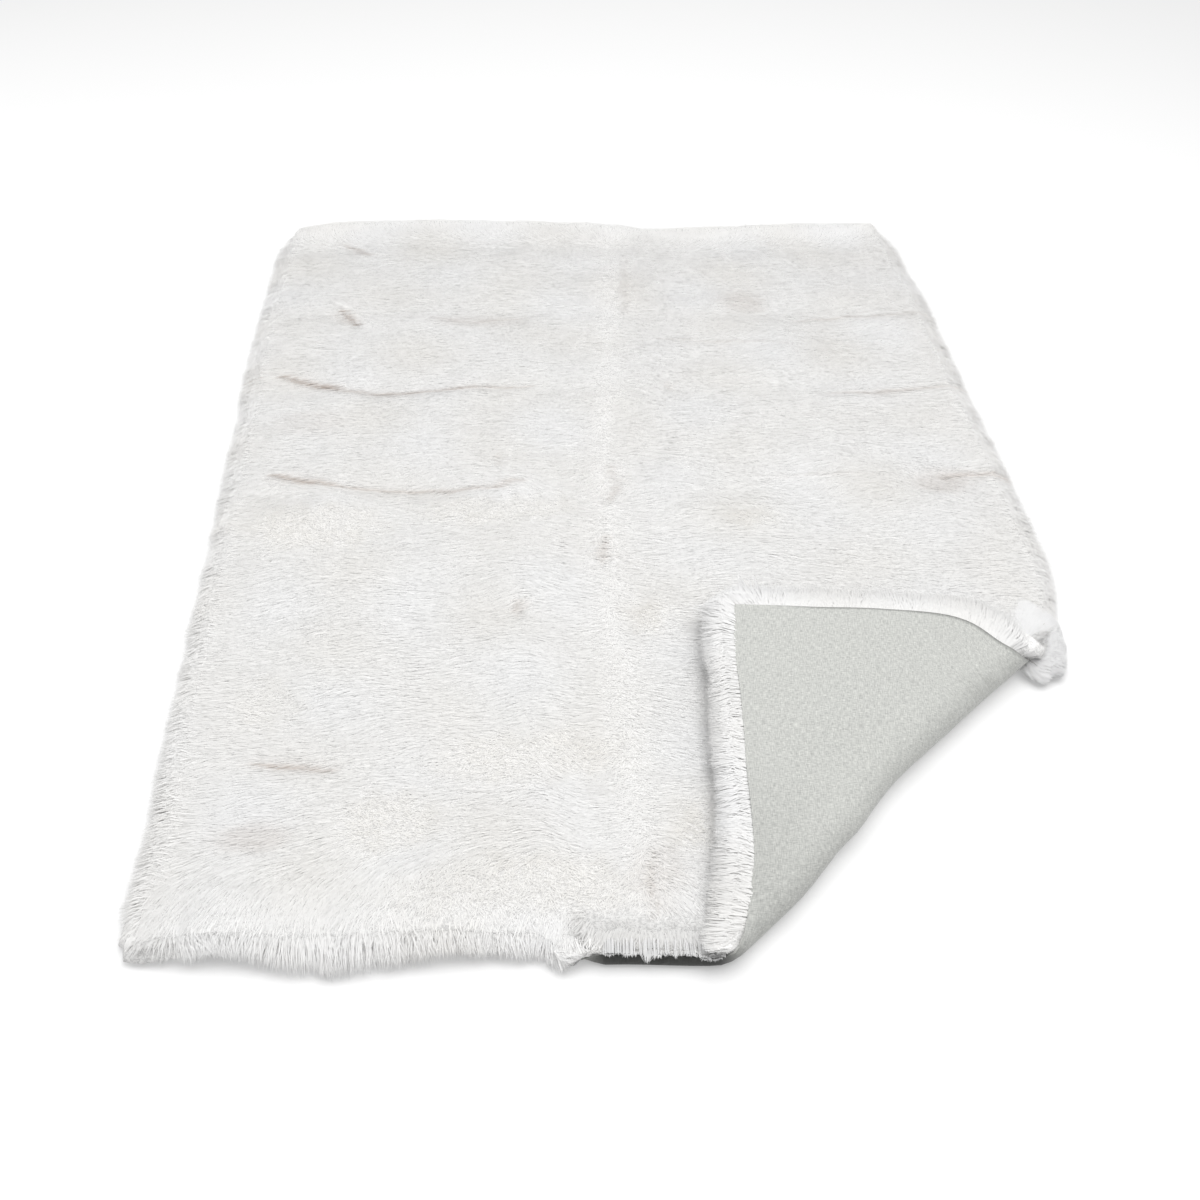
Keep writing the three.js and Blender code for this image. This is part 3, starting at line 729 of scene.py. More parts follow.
CREASES = (
    Crease(((-0.55, 0.86), (-0.48, 0.80)), 3, 0.35),
    Crease(((-0.53, 0.59), (-0.49, 0.52)), 8, 0.9),
    Crease(((-0.34, 0.55), (-0.25, 0.525), (-0.16, 0.54)), 1.5, 0.1),
    Crease(((-0.62, 0.35), (-0.56, 0.33), (-0.50, 0.305)), 7, 0.75),
    Crease(((-0.56, 0.33), (-0.50, 0.305), (-0.40, 0.29), (-0.26, 0.30), (-0.15, 0.30)), 4, 0.35),
    Crease(((-0.60, 0.05), (-0.54, 0.035), (-0.48, 0.015)), 6, 0.6),
    Crease(((-0.54, 0.035), (-0.48, 0.015), (-0.40, 0.00), (-0.28, -0.005), (-0.16, 0.015)), 4, 0.32),
    Crease(((-0.54, -0.59), (-0.49, -0.60), (-0.43, -0.61)), 6, 0.5),
    Crease(((0.38, 0.50), (0.52, 0.51), (0.67, 0.53)), 3, 0.15),
    Crease(((0.10, 0.45), (0.22, 0.43), (0.35, 0.42)), 2, 0.08),
    Crease(((0.40, 0.25), (0.52, 0.25), (0.66, 0.27)), 3, 0.2),
    Crease(((0.20, 0.12), (0.24, 0.19), (0.25, 0.25)), 3, 0.05),
    Crease(((0.25, 0.00), (0.45, 0.01)), 2, 0.05),
    Crease(((0.55, -0.01), (0.66, 0.00)), 3.5, 0.25),
    Crease(((0.05, -0.12), (0.20, -0.14), (0.35, -0.15)), 2, 0.0),
    Crease(((0.05, 0.78), (0.045, 0.66), (0.04, 0.55)), 3, 0.1),
    Crease(((-0.015, 0.05), (-0.01, 0.01), (-0.02, -0.05)), 4, 0.2),
    Crease(((-0.03, -0.14), (-0.035, -0.20)), 6, 0.35),
    Crease(((-0.205, 0.09), (-0.20, 0.05)), 6, 0.25, 2.5, 9),
    Crease(((-0.175, -0.28), (-0.17, -0.32)), 6, 0.25, 2.5, 9),
    Crease(((-0.165, -0.28), (-0.168, -0.31)), 5, 0.25, 2.5, 9),
    Crease(((0.10, 0.30), (0.11, 0.27)), 5, 0.25, 2.5, 9),
    Crease(((0.00, -0.77), (-0.01, -0.87)), 5, 0.1, 5, 24),
    # Painted shadow: the brown of this soft line beside the flap's left rim stands for the shade where the flap's
    # fur overhangs the ground fur.
    Crease(((0.145, -0.36), (0.135, -0.50), (0.135, -0.70), (0.155, -0.88)), 4, 0.2, 9, 22),
)

STAINS = (
    Patch((-0.25, 0.53), (0.10, 0.03), 0.05),
    Patch((-0.52, -0.72), (0.05, 0.025), 0.12),
    Patch((0.55, -0.02), (0.05, 0.035), 0.12),
    Patch((0.28, 0.58), (0.05, 0.04), 0.1),
    Patch((-0.55, 0.20), (0.07, 0.04), 0.05),
    Patch((0.0, -0.80), (0.03, 0.06), 0.07),
)

CURLY = (
    Patch((-0.34, -0.70), (0.075, 0.05)),
    Patch((-0.15, -0.60), (0.14, 0.05), 0.8),
    Patch((-0.17, -0.81), (0.19, 0.05), 0.8),
    Patch((-0.50, -0.09), (0.11, 0.06)),
    Patch((-0.20, -0.06), (0.14, 0.04), 0.7),
    Patch((-0.53, -0.48), (0.05, 0.06), 0.5),
    Patch((0.02, -0.33), (0.04, 0.04), 0.8),
    Patch((0.05, -0.73), (0.035, 0.04), 0.8),
    Patch((0.20, -0.10), (0.05, 0.03), 0.5),
)


@dataclass(frozen=True)
class FurField:
    """What the fur is like at each place: how high it stands, how it parts, its colour and its nap."""

    cut: FoldedCut = CUT

    def _partings(self, across: Array, along: Array) -> tuple[Array, Array]:
        """Find where the hair parts.

        Args:
            across: Places across the cut, in mm.
            along: Places along it.

        Returns:
            How deep it parts, in mm, and how brown it is there, from 0 to 1: partly stain, and partly painted shade
            in the partings.
        """
        x, y = self.cut.real_cut(across, along)
        x, y = x + 5 * waves(x, y, 60, 61), y + 4 * waves(x, y, 48, 62)
        depth, brown = np.zeros(x.shape), np.zeros(x.shape)
        for crease in CREASES:
            off = crease.nearest(x, y)
            narrow = np.exp(-((off / crease.width) ** 2))
            depth = np.maximum(depth, crease.depth * (0.65 * narrow + 0.35 * np.exp(-((off / crease.valley) ** 2))))
            # The brown of a parting is partly stain and partly painted shade at its bottom.
            brown = np.maximum(brown, crease.brown * (narrow + 0.12 * np.exp(-((off / crease.valley) ** 2))))
        stain = sum((patch.share(x, y) for patch in STAINS), np.zeros(x.shape))
        return depth, np.clip(brown + stain, 0, 1)

    def curly(self, across: Array, along: Array) -> Array:
        """Say how much the crimped underfur shows.

        Args:
            across: Places across the cut, in mm.
            along: Places along it.

        Returns:
            The share, from 0 to 1.
        """
        x, y = self.cut.real_cut(across, along)
        x, y = x + 14 * waves(x, y, 70, 63), y + 10 * waves(x, y, 55, 64)
        return np.clip(sum((patch.share(x, y) for patch in CURLY), np.zeros(x.shape)), 0, 1)

    def relief(self, across: Array, along: Array) -> Array:
        """Say how far the open fur stands over or under its even height.

        Args:
            across: Places across the cut, in mm.
            along: Places along it.

        Returns:
            The height, in mm.
        """
        rows, middle = self.cut.valleys(across, along)
        soft = 1.4 * waves(across, along, 120, 5) + 0.4 * waves(across, along, 45, 6) + 0.5 * rows + 0.8 * middle
        is_open = (1 - smooth(-40, 10, self.cut.under_flap(across, along))) * (
            self.cut.turned(across, along)[1] < 0
        )
        return (soft - self._partings(across, along)[0] - 2.0 * self.curly(across, along)) * is_open

    def place(self, grid_x: Array, grid_y: Array, depth: Array) -> Array:
        """Place points in the fur.

        Args:
            grid_x: Places across the cut. Past the hide's edge they are in the rim, and count in its own reach.
            grid_y: Places along the cut, likewise.
            depth: 0 on the fur's underside and 1 at its tips.

        Returns:
            The points in metres.
        """
        cut = self.cut
        hide_x = np.clip(grid_x, -cut.half_width, cut.half_width)
        hide_y = np.clip(grid_y, -cut.half_length, cut.half_length)
        past_x, past_y = grid_x - hide_x, grid_y - hide_y
        share = np.maximum(np.abs(past_x), np.abs(past_y)) / cut.rim_reach
        low, high = cut.fur_layer(hide_x, hide_y, share)
        high = high + self.relief(hide_x, hide_y)
        stretch = cut.reach(hide_x, hide_y) / cut.rim_reach
        points = cut.layer(hide_x + past_x * stretch, hide_y + past_y * stretch, low + (high - low) * depth)
        step = cut.puff(hide_x, hide_y) * smooth(0, 0.5, share)
        drop = step * (1 - np.clip(depth, 0, 1)) * cut.puff_step[2]
        points = points + np.stack([step * cut.puff_step[0], step * cut.puff_step[1], drop], axis=-1)
        points[..., 2] = np.maximum(points[..., 2], cut.floor_gap)
        return placed(points)

    def facing(self, grid_x: Array, grid_y: Array, depth: Array, step: float = 11.0) -> Array:
        """Find the way that a layer of the fur faces, smoothed over a few millimetres.

        Args:
            grid_x: Places across the cut, as in place.
            grid_y: Places along it.
            depth: 0 on the fur's underside and 1 at its tips.
            step: How far apart the smoothed points are, in mm.

        Returns:
            A unit direction for each point.
        """
        dx = self.place(grid_x + step, grid_y, depth) - self.place(grid_x - step, grid_y, depth)
        dy = self.place(grid_x, grid_y + step, depth) - self.place(grid_x, grid_y - step, depth)
        return unit(np.cross(dx, dy))

    def nap(self, across: Array, along: Array) -> tuple[Array, Array]:
        """Find the way that the hair lies: outwards from the middle seam, and out over the near and far edges.

        Args:
            across: Places across the cut, in mm.
            along: Places along it.

        Returns:
            The direction's parts across and along the cut.
        """
        side = np.tanh(across / 6.0)
        near = 1 - smooth(20, 170, along + self.cut.half_length)
        far = 1 - smooth(10, 120, self.cut.half_length - along)
        angle = 0.35 * waves(across, along, 210, 11) + 0.15 * waves(across, along, 75, 12)
        dx = side * (1 - 0.8 * np.maximum(near, far)) + 0.15 * waves(across, along, 120, 13)
        dy = -0.25 - 1.6 * near + 1.8 * far
        length = np.hypot(dx, dy)
        c, s = np.cos(angle), np.sin(angle)
        return (dx * c - dy * s) / length, (dx * s + dy * c) / length

    def colour(self, across: Array, along: Array, depth: Array) -> Array:
        """The fur's colour.

        Args:
            across: Places across the cut.
            along: Places along the cut.
            depth: 0 at the tips and 1 at the hide.

        Returns:
            A linear colour for each place.
        """
        brown = self._partings(across, along)[1][..., None]
        tone = 0.2 + 0.2 * waves(across, along, 150, 21) + 0.5 * self.curly(across, along)
        cream = np.clip(tone, 0, 1)[..., None]
        hair = WHITE * (1 - cream) + CREAM * cream
        hair = hair * (1 - 0.8 * depth[..., None]) + ROOT * 0.8 * depth[..., None]
        # Brown: stain and painted shade at the partings, and real stain in the stains' patches.
        return hair * (1 - brown) + BROWN * brown


FIELD = FurField()


# Meshes


def add_piece(mesh: bpy.types.Mesh, finish: bpy.types.Material, slot: str, *nodes: str) -> bpy.types.Object:
    """Make a mesh a piece on the blanket's body and hide the solids that it replaces.

    Args:
        mesh: The mesh, whose name the piece gets.
        finish: Its material.
        slot: The record's material slot. It is not used.
        nodes: The solids that the piece replaces.

    Returns:
        The new object.
    """
    mesh.materials.append(finish)
    piece = bpy.data.objects.new(mesh.name, mesh)
    bpy.context.scene.collection.objects.link(piece)
    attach(piece, "root")
    if nodes:
        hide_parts(*nodes)
    log.info("%s: %d faces", piece.name, len(piece.data.polygons))
    return piece


def closed_mesh(name: str, body: bmesh.types.BMesh, points: Array, sharp: float = 55.0) -> bpy.types.Mesh:
    """Move a bmesh's vertices to their places and turn it into a smooth mesh.

    Args:
        name: The mesh's name.
        body: The bmesh, which is freed.
        points: The place of each vertex, in metres.
        sharp: The angle past which an edge is shaded sharp, in degrees.

    Returns:
        The mesh.
    """
    for vert, point in zip(body.verts, points):
        vert.co = point
    bmesh.ops.recalc_face_normals(body, faces=body.faces[:])
    mesh = bpy.data.meshes.new(name)
    body.to_mesh(mesh)
    body.free()
    mesh.shade_smooth()
    mesh.set_sharp_from_angle(angle=math.radians(sharp))
    return mesh


def grid_columns(grid: bmesh.types.BMesh) -> Array:
    """The coordinates of a bmesh's vertices as an array."""
    return np.array([v.co[:] for v in grid.verts])


def double_grid(xs: tuple[float, float], ys: tuple[float, float], cell: float) -> bmesh.types.BMesh:
    """A closed flat box of fine cells over a part of the cut: its top at z = 1 and its underside at z = 0.

    Args:
        xs: The range across, in mm.
        ys: The range along, in mm.
        cell: The size of a cell, in mm.

    Returns:
        The mesh, with places of the cut as its coordinates.
    """
    bm = bmesh.new()
    nx = max(2, round((xs[1] - xs[0]) / cell))
    ny = max(2, round((ys[1] - ys[0]) / cell))
    for level in (0.0, 1.0):
        made = bmesh.ops.create_grid(bm, x_segments=nx, y_segments=ny, size=0.5)["verts"]
        bmesh.ops.scale(bm, vec=(xs[1] - xs[0], ys[1] - ys[0], 1.0), verts=made)
        bmesh.ops.translate(bm, vec=((xs[0] + xs[1]) / 2, (ys[0] + ys[1]) / 2, level), verts=made)
        if level == 0.0:
            bmesh.ops.reverse_faces(bm, faces=bm.faces[:])
    rims = [edge for edge in bm.edges if edge.is_boundary]
    bmesh.ops.bridge_loops(bm, edges=rims)
    bmesh.ops.recalc_face_normals(bm, faces=bm.faces[:])
    return bm


def tint_mesh(mesh: bpy.types.Mesh, colours: Array, name: str = "fur_tint") -> None:
    """Store a colour for each vertex.

    Args:
        mesh: The mesh.
        colours: A linear colour for each vertex.
        name: The attribute's name.
    """
    attribute = mesh.color_attributes.new(name, "FLOAT_COLOR", "POINT")
    rgba = np.concatenate([colours, np.ones((len(colours), 1))], axis=1)
    attribute.data.foreach_set("color", rgba.astype(np.float32).ravel())


def ribbon_mesh(name: str, spine: Array, width: Array, facing: Array, colours: Array) -> bpy.types.Mesh:
    """Join thin tapering ribbons into one mesh.

    Args:
        name: The mesh's name.
        spine: Each ribbon's stations from root to tip, in metres: ribbons x stations x 3.
        width: The ribbon's width at each station but the last, in metres.
        facing: The way that each ribbon faces and is shaded at each station.
        colours: A colour for each station.

    Returns:
        The mesh, with colours and normals.
    """
    count, stations, _ = spine.shape
    direction = np.gradient(spine, axis=1)
    sideways = unit(np.cross(direction, facing))
    half = sideways[:, :-1] * width[:, :, None] / 2
    pairs = np.stack([spine[:, :-1] - half, spine[:, :-1] + half], axis=2).reshape(count, -1, 3)
    corners = np.concatenate([pairs, spine[:, -1:]], axis=1)
    corners[..., 2] = np.maximum(corners[..., 2], 0.0)
    size = corners.shape[1]
    faces = []
    for k in range(0, 2 * stations - 4, 2):
        faces += [(k, k + 1, k + 2), (k + 1, k + 3, k + 2)]
    faces.append((size - 3, size - 2, size - 1))
    triangles = (np.arange(count)[:, None, None] * size + np.array(faces)[None]).reshape(-1, 3)
    mesh = bpy.data.meshes.new(name)
    mesh.vertices.add(count * size)
    mesh.vertices.foreach_set("co", corners.astype(np.float32).ravel())
    mesh.loops.add(triangles.size)
    mesh.loops.foreach_set("vertex_index", triangles.astype(np.int32).ravel())
    mesh.polygons.add(len(triangles))
    mesh.polygons.foreach_set("loop_start", np.arange(0, triangles.size, 3, dtype=np.int32))
    mesh.update(calc_edges=True)
    mesh.shade_smooth()
    normals, tints = (
        np.concatenate([np.repeat(part[:, :-1], 2, axis=1), part[:, -1:]], axis=1).reshape(-1, 3)
        for part in (facing, colours)
    )
    mesh.normals_split_custom_set_from_vertices(normals)
    tint_mesh(mesh, tints)
    return mesh


def tapered(rng: np.random.Generator, width: float, count: int) -> Array:
    """The uneven widths of long hairs at their root and middle, in metres, from their even width in mm."""
    return np.array([0.9, 1.0]) * (width * MM) * rng.uniform(0.6, 1.1, (count, 1))


@dataclass
class Lining:
    """The wool cloth on the underside, cut as one piece and folded with the blanket."""

    cut: FoldedCut = CUT
    cell: float = 13.0
    hem_width: float = 9.0
    hem_height: float = 1.6
    fine_share: float = 0.15
    fine_width: float = 95.0
    curl_shade: float = 0.82
    crevice_shade: float = 0.6
    low_shade: float = 0.1
    finish: MelangeWool = field(default_factory=MelangeWool)

    def _denser(self, place: Array, half: float) -> Array:
        """Draw the grid's lines together in the last 95 mm at the low end of a range, where the edge bends."""
        share = (place + half) / (2 * half)
        return np.interp(share, (0, self.fine_share, 1), (-half, self.fine_width - half, half))

    def _shade(self, across: Array, along: Array) -> Array:
        """Shade the cloth: dark in the curl of the near edge and in the crevice along the flap's far edge, and a
        little darker towards the fold's near end.

        Args:
            across: Places across the cut, in mm.
            along: Places along it.

        Returns:
            The cloth's brightness, from 0 to 1.
        """
        x, y = self.cut.real_cut(across, along)
        low = 1 - smooth(-260, -40, self.cut.fold_frame(x, y)[0])
        curled = self.cut.curl(x) * (1 - smooth(26, 48, along + self.cut.half_length))
        crevice = smooth(-9, -2, across - self.cut.half_width) * (1 - smooth(-500, -380, along))
        crevice = crevice * smooth(-860, -760, along)
        dark = self.curl_shade * curled + self.crevice_shade * crevice + self.low_shade * low
        return np.maximum(0.1, 1 - dark)

    def _wrinkle(self, across: Array, along: Array) -> Array:
        """Find the cloth's soft wrinkles. It lies tight on the ground side.

        Args:
            across: Places across the cut, in mm.
            along: Places along it.

        Returns:
            How far it stands out from the hide, in mm.
        """
        turned = self.cut.turned(across, along)[1]
        x, y = self.cut.real_cut(across, along)
        along_fold, _ = self.cut.fold_frame(x, y)
        free = smooth(0.35, 0.75, turned)
        soft = 1.0 + waves(across, along, 120, 31)
        pulls = np.maximum(0, np.sin(along_fold / 13.0 + 1.2 * waves(across, along, 90, 32)))
        by_bend = np.exp(-(((turned - 1.1) / 0.8) ** 2)) * smooth(-0.2, 0.5, waves(across, along, 150, 33))
        return free * (2.2 * np.clip(soft, 0, 2) + 4.5 * pulls * by_bend)

    def _hem(self, across: Array, along: Array) -> Array:
        """Find the turned-in edge's soft ridge.

        Args:
            across: Places across the cut, in mm.
            along: Places along it.

        Returns:
            Its height, in mm.
        """
        gap = np.minimum(self.cut.half_width - np.abs(across), self.cut.half_length - np.abs(along))
        ridge = np.exp(-(((gap - self.hem_width) / 4.0) ** 2))
        pucker = 1 + 0.7 * waves(across, along, 28, 34)
        return self.hem_height * ridge * pucker * smooth(0.3, 0.6, self.cut.turned(across, along)[1])

    def build(self) -> bpy.types.Object:
        """Lay the cloth out, fold it, and give it its thickness."""
        reach_x, reach_y = self.cut.half_width - self.cut.lining_inset, self.cut.half_length - self.cut.lining_inset
        bm = double_grid((-reach_x, reach_x), (-reach_y, reach_y), self.cell)
        flat = grid_columns(bm)
        across, along = -self._denser(-flat[:, 0], reach_x), self._denser(flat[:, 1], reach_y)
        top = flat[:, 2]
        out = (self._wrinkle(across, along) + self._hem(across, along)) * (1 - top)
        points = placed(self.cut.layer(across, along, top * self.cut.lining_thickness - out))
        points[:, 2] = np.maximum(points[:, 2], 0.0)
        layer = bm.loops.layers.uv.new("cut")
        for vert, x, y in zip(bm.verts, across, along):
            for loop in vert.link_loops:
                loop[layer].uv = (x * MM, y * MM)
        mesh = closed_mesh("lining_cloth", bm, points)
        tint_mesh(mesh, np.repeat(self._shade(across, along)[:, None], 3, axis=1), "cloth_shade")
        piece = add_piece(mesh, self.finish.make(), "lining_wool", "lining")
        return piece


@dataclass
class Pelt:
    """One pelt: its underfur as a soft closed body, the guard hair over it, and the long hair of its rim."""

    row: int
    side: Side
    underfur: bpy.types.Material
    guard: bpy.types.Material
    cut: FoldedCut = CUT
    cell: float = 6.5
    underfur_top: float = 0.90
    underfur_rim: float = 0.78
    hair_spacing: float = 2.35
    hair_length: float = 38.0
    hair_width: float = 1.8
    rim_hairs_per_mm: float = 10.0
    rim_band: float = 46.0
    rim_width: float = 1.6
    rim_spread: tuple[float, float] = (0.95, 1.35)
    fold_gain: float = 1.8
    flap_widening: float = 0.5
    flap_lengthening: float = 0.15
    corner_loss: float = 0.25
    crevice_loss: float = 0.45
    shades: tuple[float, float] = (0.985, 1.0)
    tuft_mm: float = 13.0
    near_tuft_mm: float = 9.0
    fringe_lock_mm: float = 9.0
    fringe_hairs: float = 30.0
    # Painted shade: the fringe's locks are darkened, most at the root, for the shade that the coat's hairs cast on
    # one another.
    fringe_painted_shade: tuple[float, float, float] = (0.88, 0.9, 0.92)
    fringe_facing: tuple[tuple[float, float, float], ...] = ((0, 0.05, 1), (0, -0.3, 0.95), (0, -0.6, 0.8))

    @property
    def name(self) -> str:
        """The pelt's own name."""
        return f"pelt_{self.side.value}_{self.row + 1}"

    @property
    def is_near(self) -> bool:
        """Whether the pelt has the blanket's near edge."""
        return self.row == 0

    @property
    def is_far(self) -> bool:
        """Whether the pelt has the blanket's far edge."""
        return self.row == len(self.cut.row_seams) - 2

    @property
    def out(self) -> float:
        """The way across to the pelt's outer edge: -1 or 1."""
        return -1.0 if self.side is Side.LEFT else 1.0

    @property
    def span_x(self) -> tuple[float, float]:
        """The hide's range across."""
        return (-self.cut.half_width, 0.0) if self.side is Side.LEFT else (0.0, self.cut.half_width)

    @property
    def span_y(self) -> tuple[float, float]:
        """The hide's range along."""
        return self.cut.row_seams[self.row], self.cut.row_seams[self.row + 1]

    def build_underfur(self) -> None:
        """Build the soft body under the guard hair. Its rim is rounded, and ends short of the hair's tips."""
        rim = self.underfur_rim * self.cut.rim_reach
        (x0, x1), (y0, y1) = self.span_x, self.span_y
        x0, x1 = x0 - rim * (self.out < 0), x1 + rim * (self.out > 0)
        y0, y1 = y0 - rim * self.is_near, y1 + rim * self.is_far
        bm = double_grid((x0, x1), (y0, y1), self.cell)
        flat = grid_columns(bm)
        across, along, top = flat[:, 0], flat[:, 1], flat[:, 2]
        past = np.maximum(np.abs(across) - self.cut.half_width, np.abs(along) - self.cut.half_length)
        share = np.clip(past / rim, 0, 1)
        full = np.sqrt(1 - 0.97 * share**2)
        middle, slim = 0.42, smooth(0.05, 0.5, share)
        high = middle + (self.underfur_top - middle - 0.18 * slim) * full
        low = middle - (middle - 0.28 * slim) * full
        points = FIELD.place(across, along, low + (high - low) * top)
        mesh = closed_mesh(f"{self.name}_underfur", bm, points)
        on_flap = smooth(0.4, 0.9, self.cut.turned(across, along)[1])
        # Painted light: the underfur is made lighter on the flap's rim, which lifts its painted shade there.
        bright = 1 + 0.3 * on_flap * slim
        tint_mesh(mesh, FIELD.colour(across, along, np.full(len(across), 0.5)) * bright[:, None])
        add_piece(mesh, self.underfur, "fox_fur", self.name)

    def _tuft(self, across: Array, along: Array, size: float) -> tuple[Array, Array, Array]:
        """Gather points into tufts.

        Args:
            across: Places across the cut, in mm.
            along: Places along it.
            size: The distance between two tufts.

        Returns:
            The way to each point's tuft, across and along, and the tuft's own random number.
        """
        rng = np.random.default_rng(7)
        offsets = rng.uniform(0.2, 0.8, (3, 256, 256))
        bend_x = across + 5 * waves(across, along, 50, 41)
        bend_y = along + 5 * waves(across, along, 50, 42)
        cell_x, cell_y = np.floor(bend_x / size).astype(int), np.floor(bend_y / size).astype(int)
        i, j = cell_x % 256, cell_y % 256
        return (
            (cell_x + offsets[0, i, j]) * size - bend_x,
            (cell_y + offsets[1, i, j]) * size - bend_y,
            (offsets[2, i, j] - 0.2) / 0.6,
        )

    def build_coat(self) -> None:
        """Comb the guard hair over the open fur. Each hair lies almost flat on the one before it."""
        rng = np.random.default_rng(1000 + 10 * self.row + (self.side is Side.RIGHT))
        (x0, x1), (y0, y1) = self.span_x, self.span_y
        nx, ny = int((x1 - x0) / self.hair_spacing), int((y1 - y0) / self.hair_spacing)
        gx, gy = np.meshgrid(np.arange(nx), np.arange(ny), indexing="ij")
        across = x0 + (gx.ravel() + rng.uniform(0, 1, gx.size)) * self.hair_spacing
        along = y0 + (gy.ravel() + rng.uniform(0, 1, gy.size)) * self.hair_spacing
        curly = FIELD.curly(across, along)
        is_open = (self.cut.turned(across, along)[1] < 0.1) & (self.cut.under_flap(across, along) < 30)
        keep = is_open & (rng.uniform(0, 1, across.size) > 0.6 * curly)
        across, along, curly = across[keep], along[keep], curly[keep]
        count = across.size
        dx, dy = FIELD.nap(across + rng.normal(0, 13, count), along)
        by_seam = np.exp(-((across / 14.0) ** 2))
        turn = rng.normal(0, 1, count) * (0.13 + 0.7 * curly + 0.45 * by_seam)
        c, s = np.cos(turn), np.sin(turn)
        dx, dy = dx * c - dy * s, dx * s + dy * c
        length = self.hair_length * rng.uniform(0.65, 1.1, count) * (1 - 0.55 * curly)
        pull_x, pull_y, tuft = self._tuft(across, along, self.tuft_mm)
        stray = rng.uniform(0, 1, count) > 0.97
        lift = 0.975 + 0.03 * (tuft - 0.5) + 0.012 * rng.normal(0, 1, count) + 0.07 * stray
        tip_x, tip_y = across + dx * length + 0.25 * pull_x, along + dy * length + 0.25 * pull_y
        past = rng.uniform(2, 22, count)
        tip_x = np.clip(tip_x, -self.cut.half_width - past, self.cut.half_width + past)
        tip_y = np.clip(tip_y, -self.cut.half_length - past, self.cut.half_length + past)
        root = FIELD.place(across, along, np.full(count, self.underfur_top - 0.03))
        tip = FIELD.place(tip_x, tip_y, lift)
        facing = FIELD.facing((across + tip_x) / 2, (along + tip_y) / 2, np.ones(count))
        facing = np.repeat(unit(facing + rng.normal(0, 0.02, facing.shape))[:, None], 2, axis=1)
        width = self.hair_width * MM * rng.uniform(0.7, 1.2, (count, 1))
        shade = rng.uniform(*self.shades, (count, 1, 1))
        ends = (across, along, np.full(count, 0.4)), ((across + tip_x) / 2, (along + tip_y) / 2, np.zeros(count))
        colours = np.stack([FIELD.colour(*end) for end in ends], axis=1) * shade
        mesh = ribbon_mesh(f"{self.name}_coat", np.stack([root, tip], axis=1), width, facing, colours)
        add_piece(mesh, self.guard, "fox_fur")

    def _rim_roots(self, rng: np.random.Generator) -> tuple[Array, Array, Array, Array, Array]:
        """Find where the rim's hair grows.

        Args:
            rng: The pelt's own random numbers.

        Returns:
            Places across and along, the way that the hair points, and how far inside the edge it starts.
        """
        (x0, x1), (y0, y1) = self.span_x, self.span_y
        half_x, half_y = self.cut.half_width, self.cut.half_length
        rows = []
        per_mm = self.rim_hairs_per_mm * (self.fold_gain if self.side is Side.RIGHT and self.row < 2 else 1)
        count = int((y1 - y0) * per_mm)
        run, inside = rng.uniform(y0, y1, count), self.rim_band * rng.uniform(0, 1, count) ** 1.3
        corner = self.is_far * (1 - smooth(0, 70, half_y - run)) - self.is_near * (1 - smooth(0, 70, run + half_y))
        rows.append((self.out * (half_x - inside), run, np.full(count, self.out), corner, inside))
        for way, has_edge in ((-1.0, self.is_near), (1.0, self.is_far)):
            if has_edge:
                count = int((x1 - x0) * per_mm)
                run, inside = rng.uniform(x0, x1, count), self.rim_band * rng.uniform(0, 1, count) ** 1.3
                corner = self.out * (1 - smooth(0, 80, half_x - np.abs(run)))
                rows.append((run, way * (half_y - inside), corner, np.full(count, way), inside))
        across, along, dx, dy, inside = (np.concatenate(column) for column in zip(*rows))
        length = np.hypot(dx, dy)
        return across, along, dx / length, dy / length, inside

    def _rim_facing(self, spine: Array, sx: Array, sy: Array, depth: Array, on_flap: Array) -> Array:
        """The way that the rim's hair is shaded: as a soft rounded edge, and never downwards.

        Args:
            spine: Each hair's stations, in metres.
            sx: Each station's place across the cut.
            sy: Each station's place along the cut.
            depth: Each hair's layer, from 0 on the fur's underside to 1 on its top.
            on_flap: How far each hair is on the flap, where the fur's underside is on top.

        Returns:
            A direction for each station.
        """
        cut = self.cut
        past = np.maximum(np.abs(sx) - cut.half_width, np.abs(sy) - cut.half_length)
        furward = cut.furward(sx[:, :1], sy[:, :1])
        ahead = (spine[:, -1:] - spine[:, :1]) * np.ones((1, sx.shape[1], 1))
        outward = unit(ahead - furward * (ahead * furward).sum(axis=-1, keepdims=True))
        side = (np.clip((depth - 0.42) * 6, -1, 1) * (1 - on_flap) - on_flap)[:, None]
        angle = np.maximum(0.85 * np.clip(past / cut.rim_reach, 0, 1), (1 - np.abs(side)) * math.pi / 2)
        facing = furward * (np.sign(side) * np.cos(angle))[..., None] + outward * np.sin(angle)[..., None]
        facing[..., 2] = np.maximum(facing[..., 2], 0.5 + 0.3 * on_flap[:, None])
        return unit(facing)

